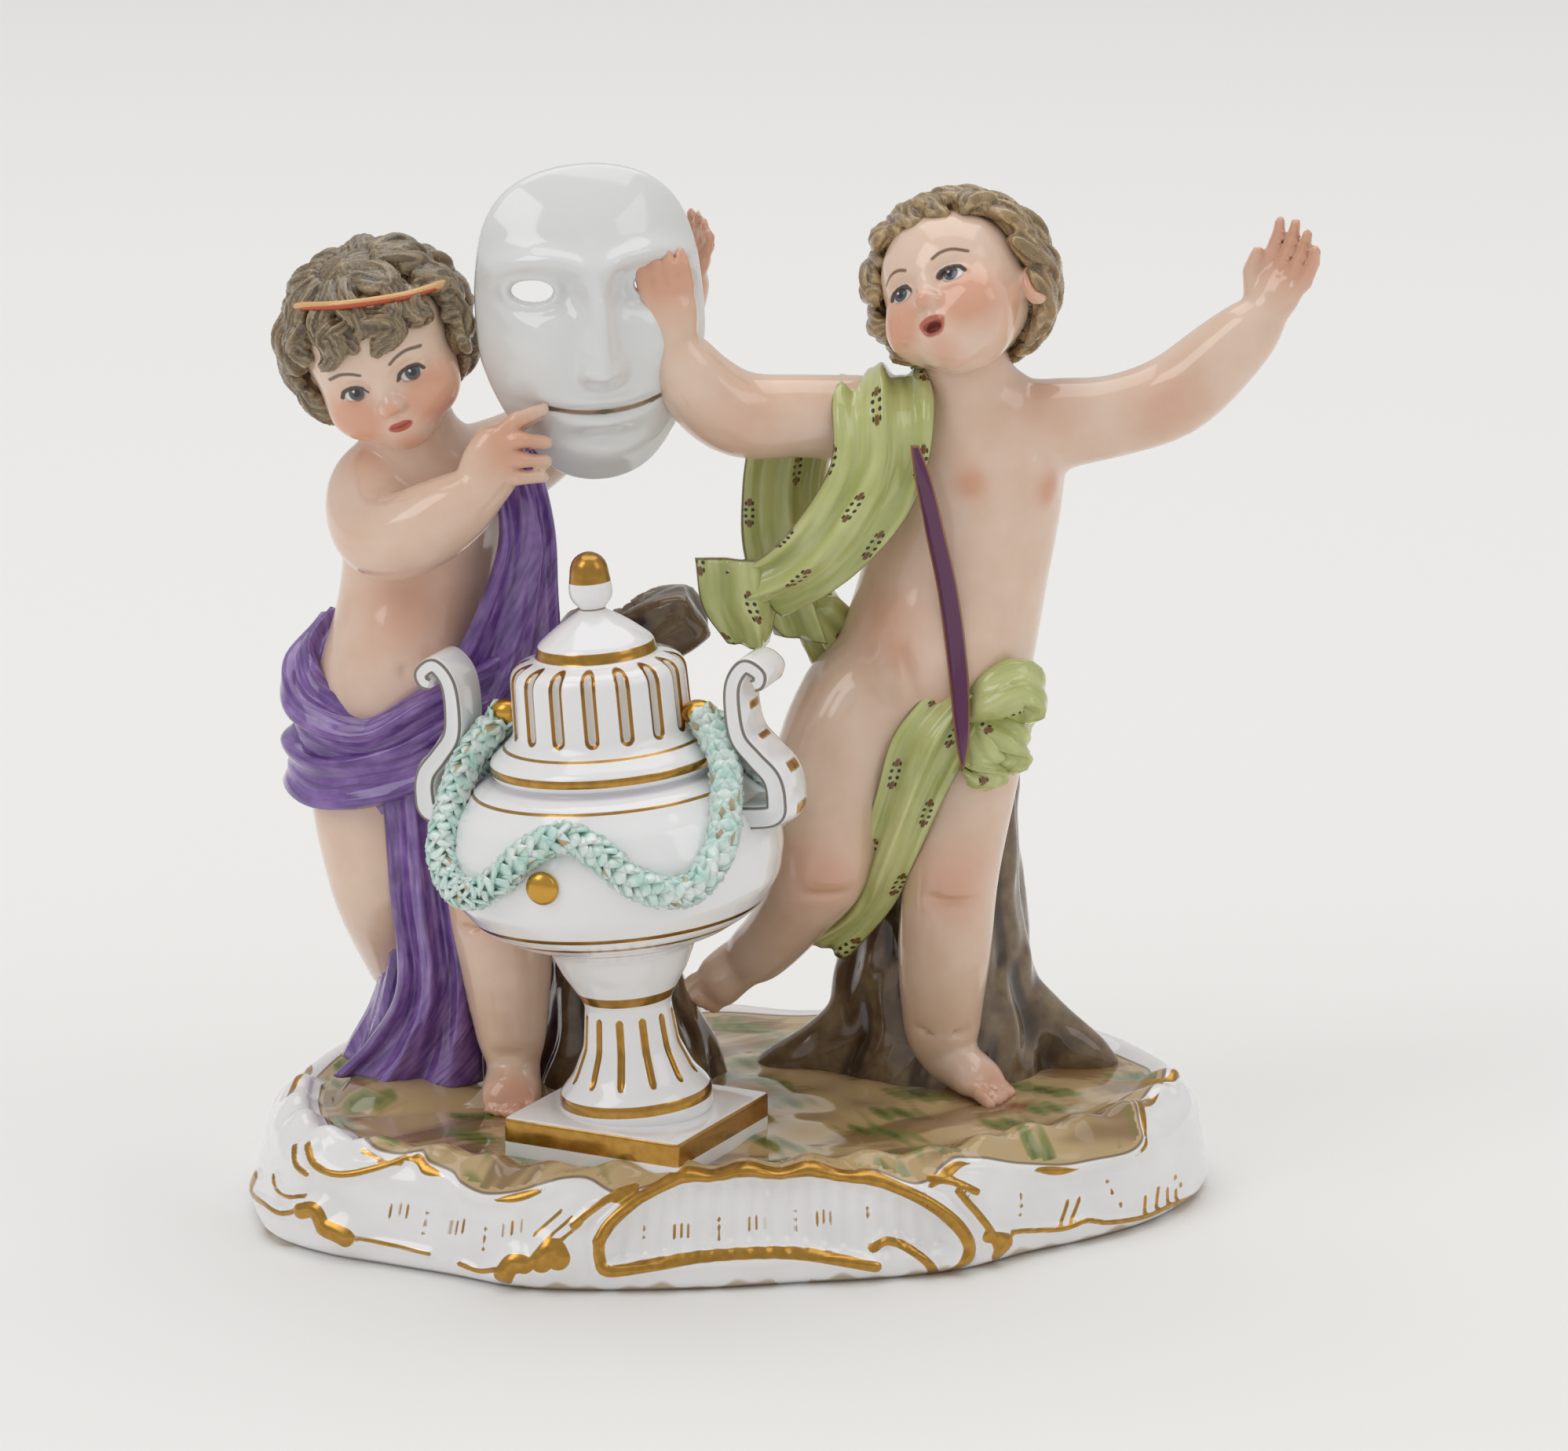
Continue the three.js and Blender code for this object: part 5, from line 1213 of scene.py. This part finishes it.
def wavy_lock(path, radius, r, wave=0.5, strands=4, phase=0.0):
    """A lock of wound strands along a path of (azimuth, height, out), in the head's own frame.

    Gives the strands as bones, and the middle line's points with the directions along and across the lock."""
    centre = spline([on_head(a, h, r, o) for a, h, o in path], 6)
    count = len(centre)
    forms = []
    tangent = units(np.gradient(centre, axis=0))
    out = units(centre)
    side = units(np.cross(tangent, out))
    share = np.linspace(0, 1, count)
    full = 0.55 + 0.55 * np.sin(math.pi * np.minimum(share * 0.9 + 0.1, 1)) ** 0.7
    girth = radius * full * (1 - 0.45 * share**3)
    centre = centre + side * (wave * np.sin(share * 2 * math.pi * 1.3 + phase))[:, None]
    for k in range(strands):
        turn = 2 * math.pi * k / strands + phase + share * 2.2
        wide = (0.62 * girth * np.cos(turn))[:, None]
        deep = (0.45 * girth * np.sin(turn))[:, None]
        thread = centre + side * wide + out * deep
        for i in range(count - 1):
            forms.append(bone(thread[i], thread[i + 1], 0.5 * girth[i], 0.5 * girth[i + 1]))
    walked = lengths(centre)
    return forms, np.column_stack([centre, tangent, side, walked + 5 * phase, np.full(count, 11 * phase)])


def hair(name, spec, curls, cap, tint, dark, light):
    """Locks and the cap under them in one skin, with strands raised and painted along the nearest lock."""
    clay = Clay((-19, -19, -17), (19, 19, 20), CELL["hair"])
    cap_melt, lock_melt, strand_height = 1.2, 0.22, 0.1
    clay.add(cap, cap_melt)
    for forms, _ in curls:
        clay.add(forms, lock_melt)
    points, faces = clay.skin()
    guide = np.vstack([line for _, line in curls])
    nearest = np.concatenate([np.argmin(((part[:, None] - guide[None, :, :3]) ** 2).sum(-1), 1)
                              for part in np.array_split(points, 1 + len(points) // 3000)])
    line = guide[nearest]
    away = points - line[:, :3]
    along = line[:, 9] + (away * line[:, 3:6]).sum(1)
    up = np.cross(line[:, 6:9], line[:, 3:6])
    across = line[:, 10] + (away * line[:, 6:9]).sum(1) + 0.5 * (away * up).sum(1)
    # strand is high on the crest of each raised strand and low in the grooves between; its coats are the
    # hair's painted strokes, and their dark in the grooves is painted shade and their light on the crests
    # painted highlight
    strand = np.cos(2 * math.pi * (across / STRAND + 0.12 * np.sin(along)))
    # How far each point stands out of the smoothed hair: its hollows get painted shade, its bumps a painted
    # highlight
    smooth = relaxed(points, faces, 14, 0.6)
    normals = outward(points, faces)
    relief_shade_highlight = ((points - smooth) * normals).sum(1)
    points = points + normals * (strand_height * strand)[:, None]
    # The relief coats are painted shade in the hollows and painted highlight on the bumps
    material = glazed("enamelled_hair_" + name, tint, cloud=(3, light, 0.35), strokes=(0.55, dark, 0.75),
                      gloss=HAIR_GLOSS, coats=[
        ("strand", -9, -0.62, 0.5, dark, 0.65), ("strand", 0.72, 9, 0.4, light, 0.55),
        ("relief_shade_highlight", -9, -0.1, 0.3, dark, 0.85), ("relief_shade_highlight", 0.2, 9, 0.3, light, 0.35)])
    layers = {"relief_shade_highlight": relief_shade_highlight, "strand": strand, "across": across, "along": along}
    return piece(name, from_head(points, spec), faces, material, layers)


def locks(r, rings, bare, fringe, swing, steps, wave, wind):
    """Rings of locks from the crown down: each ring is (start height, end height, count, out).

    No lock lies where the skull faces the front by more than the ring's value in bare. fringe(azimuth) is how
    far down the locks over the brow come, swing(k, ring) how far each turns, and steps are (turn, share of
    the swing, thirds of the way down, drop, out) along it."""
    made = []
    for ring, (start, end, count, out) in enumerate(rings):
        for k in range(count):
            a = 360 * (k + 0.5 * (ring % 2)) / count
            facing = math.cos(math.radians(a))
            if facing > bare[ring]:
                continue
            low = max(end, fringe(a)) if facing > 0.5 else end
            sweep = swing(k, ring)
            path = [(a + turn + share * sweep, (start * (3 - down) + low * down) / 3 - drop, out * lift)
                    for turn, share, down, drop, lift in steps]
            made.append(wavy_lock(path, 1.9, r, wave, 4, wind * k + ring))
    return made


def crown(r):
    """The hair under the locks at the top of the head."""
    return ball((0, 0.1 * r, 0.6 * r), (0.5 * r, 0.5 * r, 0.54 * r))


def left_hair():
    r = LEFT_HEAD["radius"]
    cap = [ball((0, 0.22 * r, 0.24 * r), (0.92 * r, 0.9 * r, 0.88 * r)), crown(r)]
    curls = locks(r, rings=((0.92, 0.5, 14, 1.4), (0.62, 0.12, 18, 1.7), (0.25, -0.34, 18, 1.7),
                            (-0.1, -0.74, 14, 1.5)),
                  bare=(2, 2, 0.3, 0.1), fringe=lambda a: 0.36 + 0.08 * math.sin(3 * a),
                  swing=lambda k, ring: 14 * math.sin(2.4 * k + ring),
                  steps=((0, 0, 0, 0, 0.8), (0, 0.6, 1, 0, 1.2), (0, 1, 2, 0, 1.2), (0, 0.3, 3, 0, 0.9),
                         (0, -0.5, 3, 0.06, 0.9)),
                  wave=0.5, wind=1.7)
    return hair("left_hair", LEFT_HEAD, curls, cap, "#8A7455", "#41321F", "#BCA883")


def right_hair():
    r = RIGHT_HEAD["radius"]
    cap = [ball((0, 0.26 * r, 0.22 * r), (0.93 * r, 0.88 * r, 0.86 * r)), crown(r)]
    curls = locks(r, rings=((0.94, 0.5, 13, 1.5), (0.66, 0.1, 17, 1.7), (0.2, -0.35, 17, 1.6),
                            (-0.15, -0.7, 13, 1.3)),
                  bare=(2, 0.72, 0.2, -0.1), fringe=lambda a: 0.7,
                  swing=lambda k, ring: 26 + 8 * math.sin(1.3 * k + ring),
                  steps=((-10, 0, 0, 0, 0.9), (0, 0, 1, 0, 1.3), (0, 0.5, 2, 0, 1.2), (0, 0.8, 3, 0, 0.9),
                         (0, 1.2, 3, 0.04, 0.7)),
                  wave=0.4, wind=1.1)
    return hair("right_hair", RIGHT_HEAD, curls, cap, "#A5875C", "#5C4427", "#D0B98C")


# Cloths

def sheet(stations, folds=2.0, pleat=1.1, thick=2.0, out=(0, -1, 0), columns=60, rows=8, fine=0.28):
    """A folded cloth through stations (left edge, right edge, bulge).

    Gives its points and faces, its own coordinates across and along in mm, and the distance from its hem."""
    coarse = np.array([[*s[0], *s[1], s[2] if len(s) > 2 else 2.0] for s in stations])
    centres = (coarse[:, :3] + coarse[:, 3:6]) / 2
    normals = []
    for i in range(len(coarse)):
        along = centres[min(i + 1, len(centres) - 1)] - centres[max(i - 1, 0)]
        normals.append(unit(np.cross(coarse[i, 3:6] - coarse[i, :3], along)))
    side = np.sign(normals[len(normals) // 2] @ np.asarray(out, float))
    dense = spline(np.column_stack([coarse, np.array(normals) * side]), rows)
    s = np.linspace(0, 1, columns)
    middle = (dense[:, :3] + dense[:, 3:6]) / 2
    walked = lengths(middle)
    fronts, backs, across, along = [], [], [], []
    for k, row in enumerate(dense):
        left, right, bulge, normal = row[:3], row[3:6], row[6], unit(row[7:10])
        width = np.linalg.norm(right - left)
        drift = 0.35 * math.sin(walked[k] * 0.11)
        swayed = s + 0.04 * math.sin(walked[k] * 0.15)
        lift = bulge * np.sin(math.pi * s) + pleat * np.cos(2 * math.pi * folds * swayed)
        lift = lift + fine * np.cos(2 * math.pi * (folds * 2.6 * s + drift)) * np.sin(math.pi * s)
        base = left + (right - left) * s[:, None]
        edge = np.minimum(s, 1 - s) * width
        half = thick / 2 * np.sqrt(np.clip(edge / (thick * 0.5), 0.02, 1))
        fronts.append(base + normal * (lift + half)[:, None])
        backs.append(base + normal * (lift - half)[:, None])
        across.append(s * width)
        along.append(np.full(columns, walked[k]))
    rings = [np.vstack([f, b[::-1]]) for f, b in zip(fronts, backs)]
    points = np.vstack(rings)
    faces = grid_faces(len(rings), 2 * columns, closed=True).tolist()
    last = (len(rings) - 1) * 2 * columns
    for j in range(columns - 1):
        k = 2 * columns - 1 - j
        faces.append([j + 1, j, k, k - 1])
        faces.append([last + j, last + j + 1, last + k - 1, last + k])
    a, b = (np.concatenate([np.concatenate([x, x[::-1]]) for x in way]) for way in (across, along))
    length = walked[-1]
    wide = np.concatenate([np.full(2 * columns, x[-1]) for x in across])
    hem = np.minimum(np.minimum(a, wide - a), np.minimum(b, length - b))
    return points, faces, a, b, hem


def roll(stations, side=(0, 0, 1), ridges=5, depth=0.16, around=56, rows=9, twist=1.2):
    """A bunched roll of cloth through stations [x, y, z, radius, other radius], with winding folds."""
    dense = spline([[*s, s[3]] if len(s) == 4 else s for s in stations], rows)
    along = units(np.gradient(dense[:, :3], axis=0))
    walked = lengths(dense[:, :3])
    angle = np.linspace(0, 2 * math.pi, around, endpoint=False)
    points, a, b = [], [], []
    for k, row in enumerate(dense):
        across = square_to(side, along[k])
        depth_axis = np.cross(along[k], across)
        share = k / (len(dense) - 1)
        wound = ridges * angle + twist * share * 2 * math.pi + 0.5 * np.sin(2 * angle + 3 * share)
        ridge = 1 + depth * np.cos(wound) + 0.4 * depth * np.cos(2.3 * wound + 5 * share)
        wide, deep = row[3] * ridge * np.cos(angle), row[4] * ridge * np.sin(angle)
        points.append(row[:3] + wide[:, None] * across + deep[:, None] * depth_axis)
        a.append(angle * row[3])
        b.append(np.full(around, walked[k]))
    first, last = (dense[end, :3] + way * along[end] * min(dense[end, 3:5]) * 0.6
                   for end, way in ((0, -1), (-1, 1)))
    points, faces = capped(np.vstack(points), around, first, last)
    a = np.append(np.concatenate(a), [0, 0])
    b = np.append(np.concatenate(b), [0, walked[-1]])
    return points, faces, a, b, np.full(len(points), 9.0)


def assembled(name, parts, material):
    """Sheets and rolls as one cloth; 37 mm between the parts' own coordinates keeps their painting apart."""
    faces, start = [], 0
    for points, own_faces, *_ in parts:
        faces += [[i + start for i in face] for face in own_faces]
        start += len(points)
    points, across, along, hem = (np.concatenate([part[i] for part in parts]) for i in (0, 2, 3, 4))
    across += np.repeat(37 * np.arange(len(parts)), [len(part[0]) for part in parts])
    return turned_out(piece(name, points, faces, material, {"across": across, "along": along, "hem": hem}))


def purple_cloth():
    material = glazed("enamelled_drapery_purple", "#7C55A4", strokes=(0.7, "#553779", 0.8),
                      cloud=(4, "#A686C6", 0.8), coats=[
        ("hem", -1, 0.3, 0.3, "#4E3A6A", 0.4)], relief=0.08)
    parts = [
        sheet([((-37, 8, 106), (-28, 9, 106), 1), ((-33, -3.6, 104), (-26, -2, 106)),
               ((-32, -6, 96), (-24.6, -1, 96)), ((-34.6, -7, 87), (-24.2, 0, 88)),
               ((-39, -7, 78), (-24, 1, 80), 3), ((-44, -6.6, 70.5), (-25, 2, 71), 3)], 2, out=(0.3, -1, 0)),
        roll([[-54.6, 8, 81, 2.2, 3], [-58.6, 3, 75, 3.4, 3.4], [-57, -3, 69.4, 3.8, 3.6],
              [-49, -7, 67.4, 3.8, 3.8], [-40.5, -7.6, 72, 4, 3.6], [-32, -3, 76, 4, 3.6]], ridges=4,
             depth=0.2, twist=0.5),
        roll([[-32, 11, 73, 4, 2.6], [-40, 15.4, 71, 5, 3], [-49, 15.2, 68, 5, 3], [-55.4, 10, 65, 4.4, 3],
              [-58.6, 3.4, 62.4, 5, 4], [-54, -3.6, 60.6, 5, 4.4], [-45, -7, 63, 5, 4.4],
              [-36, -5, 68, 5, 4.2], [-28, 2, 70, 4.4, 4]], ridges=5, depth=0.2, twist=0.5),
        roll([[-34, 7, 74, 9, 8], [-34, 8, 60, 9, 8]], (1, 0, 0)),
        roll([[-36, -2.6, 66.5, 5, 3.6], [-36, -2.6, 70.5, 7, 4.4], [-36, -2.6, 74.5, 5, 3.6]], (1, 0, 0)),
        sheet([((-48, -6.4, 61), (-37.4, -7, 63)), ((-47.4, -7, 47), (-37, -6, 48)),
               ((-46.6, -5, 32), (-36, -5, 33)), ((-50.6, -0.6, 22.6), (-35.2, -4, 23)),
               ((-56, 1, 16.4), (-35, -4, 16.4))], 2.4, thick=3),
        roll([[-43.4, 0.6, 63, 7, 6.4], [-42, 2.4, 42, 5.4, 7], [-43.4, 3, 26, 6.6, 6.6],
              [-45, 4, 15.6, 9.2, 7]], (1, 0, 0), ridges=7, twist=0.2)]
    return assembled("purple_cloth", parts, material)


def green_cloth():
    material = glazed("enamelled_drapery_sprigged", "#C6CB84", strokes=(2.2, "#9CA45A", 0.6),
                      cloud=(6, "#DADDA2", 0.8), coats=[
        ("hem", -1, 0.2, 0.2, "#6B6236", 0.85)], relief=0.03, sprigs=(SPRIG_SPACING, SPRIG))
    parts = [
        sheet([((17, 10, 111), (29, 10, 112), 1), ((15.4, 2.4, 115.6), (27.6, 2, 116.6), 0.3),
               ((14.4, -4.6, 113.4), (28.6, -5.6, 113.6)), ((14.2, -7.4, 106), (27.6, -8.4, 106)),
               ((9.4, -7.4, 98), (24, -8.6, 98)), ((4.4, -6, 93), (16.6, -7, 90)),
               ((-1, -4, 91), (8.6, -4, 84.6))], pleat=1, thick=2.2),
        sheet([((-4.6, -5, 92.6), (7, -4, 92), 1), ((-3.6, -5.6, 86), (7, -4.6, 86), 1.6),
               ((-0.4, -5, 80.8), (6, -3.6, 80), 2)], 1.5),
        sheet([((3, 6, 109), (15, 7, 109)), ((1.8, 5, 100), (13.6, 7, 100)), ((2, 2, 91), (14, 6, 88), 3),
               ((6, 3, 80), (15, 8, 78), 3)], thick=2.4),
        roll([[12, 4, 84, 3.2], [17, 9, 76, 4.4], [24, 13, 72, 4.2], [32, 13, 71, 4], [39, 8, 70, 3.6],
              [40.4, 1, 69, 3.4]]),
        sheet([((27, -7.4, 74), (37.4, -5, 74)), ((22.8, -7.2, 67.6), (34.6, -8, 67.6), 2.6),
               ((20.6, -6, 59), (30.6, -7.8, 60)), ((18, -2.6, 49.4), (26.6, -5.6, 50)),
               ((14.4, 1.6, 42.6), (23.4, -1, 42)), ((10.4, 6.4, 39), (17.4, 3.4, 33))], pleat=0.9, thick=3),
        roll([[33.6, -7.6, 71, 1.9], [36.6, -9, 73.6, 3.4], [40.4, -8.4, 74.6, 3.9], [41.6, -7.6, 71, 3]],
             ridges=3, depth=0.16, twist=0.2),
        roll([[34, -8, 70.4, 1.9], [35.6, -9.4, 65, 3], [35.8, -9, 61.6, 2.6]], ridges=3, depth=0.16,
             twist=0.2),
        roll([[35, -8.4, 70.4, 1.8], [39, -8.8, 67.6, 2.7], [39.6, -8.4, 63.6, 2.2]], ridges=3, depth=0.16,
             twist=0.2)]
    return assembled("green_cloth", parts, material)


def ribbon():
    material = glazed("enamelled_ribbon_plum", "#5A1E4E", coats=[("hem", -1, 0.24, 0.14, "#9A6A34", 0.9)])
    stations = [((25.0, -11.6, 109.5), (26.2, -11.6, 109.5), 0), ((25.6, -12, 105), (27.9, -12, 105), 0),
                ((27, -11.4, 98), (29.7, -11.6, 98), 0), ((28.9, -10.4, 88.6), (31.8, -10.4, 88.6), 0),
                ((30.4, -10.8, 77.6), (33.2, -10.8, 77.6), 0), ((31.3, -12.6, 69), (33.4, -12.6, 69), 0),
                ((32.2, -12.8, 64.4), (32.7, -12.8, 64.4), 0)]
    return assembled("ribbon", [sheet(stations, 0, 0, 1.6, columns=12, rows=12, fine=0)], material)


def headband():
    r = LEFT_HEAD["radius"]
    stations = [(-112, 0.6, 1.2), (-75, 0.73, 2.2), (-40, 0.77, 3.3), (0, 0.72, 3.8), (40, 0.57, 3.6),
                (75, 0.38, 3.0), (112, 0.16, 2.0)]
    path = spline([on_head(a, h, r, o) for a, h, o in stations], 12)
    thick = 0.62
    forms = [bone(p, q, thick, thick) for p, q in zip(path[:-1], path[1:])]
    clay = Clay((-19, -19, -5), (19, 12, 20), CELL["headband"]).add(forms, 0.1)
    points, faces = clay.skin()
    band = points[:, 2] - np.interp(points[:, 0], path[:, 0], path[:, 2])
    material = glazed("enamelled_headband_red", "#C4502C", coats=[("band", 0.28, 9, 0.2, "#E6B777", 0.9)])
    return piece("headband", from_head(points, LEFT_HEAD), faces, material, {"band": band})


for make in (mound, stumps, plinth, urn, handles, knobs, garland, mask, left_body, right_body, purple_cloth,
             green_cloth, ribbon, left_hair, right_hair, headband):
    make()
head("left_head", LEFT_HEAD, False, (0.02, -0.01), "#5E4535")
head("right_head", RIGHT_HEAD, True, (-0.02, 0.01), "#6E4E32")


# Stage: a pale floor and soft studio light

def stage():
    mesh = bpy.data.meshes.new("floor")
    bm = bmesh.new()
    bmesh.ops.create_grid(bm, x_segments=1, y_segments=1, size=4.0)
    bm.to_mesh(mesh)
    bm.free()
    paper = bpy.data.materials.new("matt_paper_floor")
    paper.use_nodes = True
    shader = paper.node_tree.nodes["Principled BSDF"]
    shader.inputs["Base Color"].default_value = colour("#F4F3F1")
    shader.inputs["Roughness"].default_value = 0.75
    mesh.materials.append(paper)
    floor = bpy.data.objects.new("floor", mesh)
    bpy.context.scene.collection.objects.link(floor)


def light(name, place, size, watts, target=(0.0, 0.0, 0.07)):
    """A soft box that faces the target."""
    lamp = bpy.data.lights.new(name, "AREA")
    lamp.shape = "RECTANGLE"
    lamp.size, lamp.size_y = size
    lamp.energy = watts
    made = bpy.data.objects.new(name, lamp)
    made.location = place
    made.rotation_euler = (Vector(target) - Vector(place)).to_track_quat("-Z", "Y").to_euler()
    bpy.context.scene.collection.objects.link(made)


stage()
# name, place, size, watts
for lamp in (("soft_box_left", (-1.9, -1.2, 2.1), (1.3, 1.7), 13),
             ("soft_box_right", (1.9, -1.0, 1.7), (1.1, 1.5), 5),
             ("overhead", (0.0, 0.7, 2.6), (3.0, 2.4), 26)):
    light(*lamp)
world = bpy.data.worlds.new("studio")
world.use_nodes = True
background = world.node_tree.nodes["Background"]
background.inputs["Color"].default_value = colour("#F4F4F3")
background.inputs["Strength"].default_value = 0.6
bpy.context.scene.world = world
bpy.context.scene.view_settings.view_transform = "Standard"

camera = bpy.data.objects.new("camera", bpy.data.cameras.new("camera"))
camera.location = (0.0078, -0.7779, 0.2542)
camera.rotation_euler = (math.radians(76.5), 0, 0)
camera.data.sensor_width = 36.0
camera.data.lens = 131.2
bpy.context.scene.collection.objects.link(camera)
bpy.context.scene.camera = camera
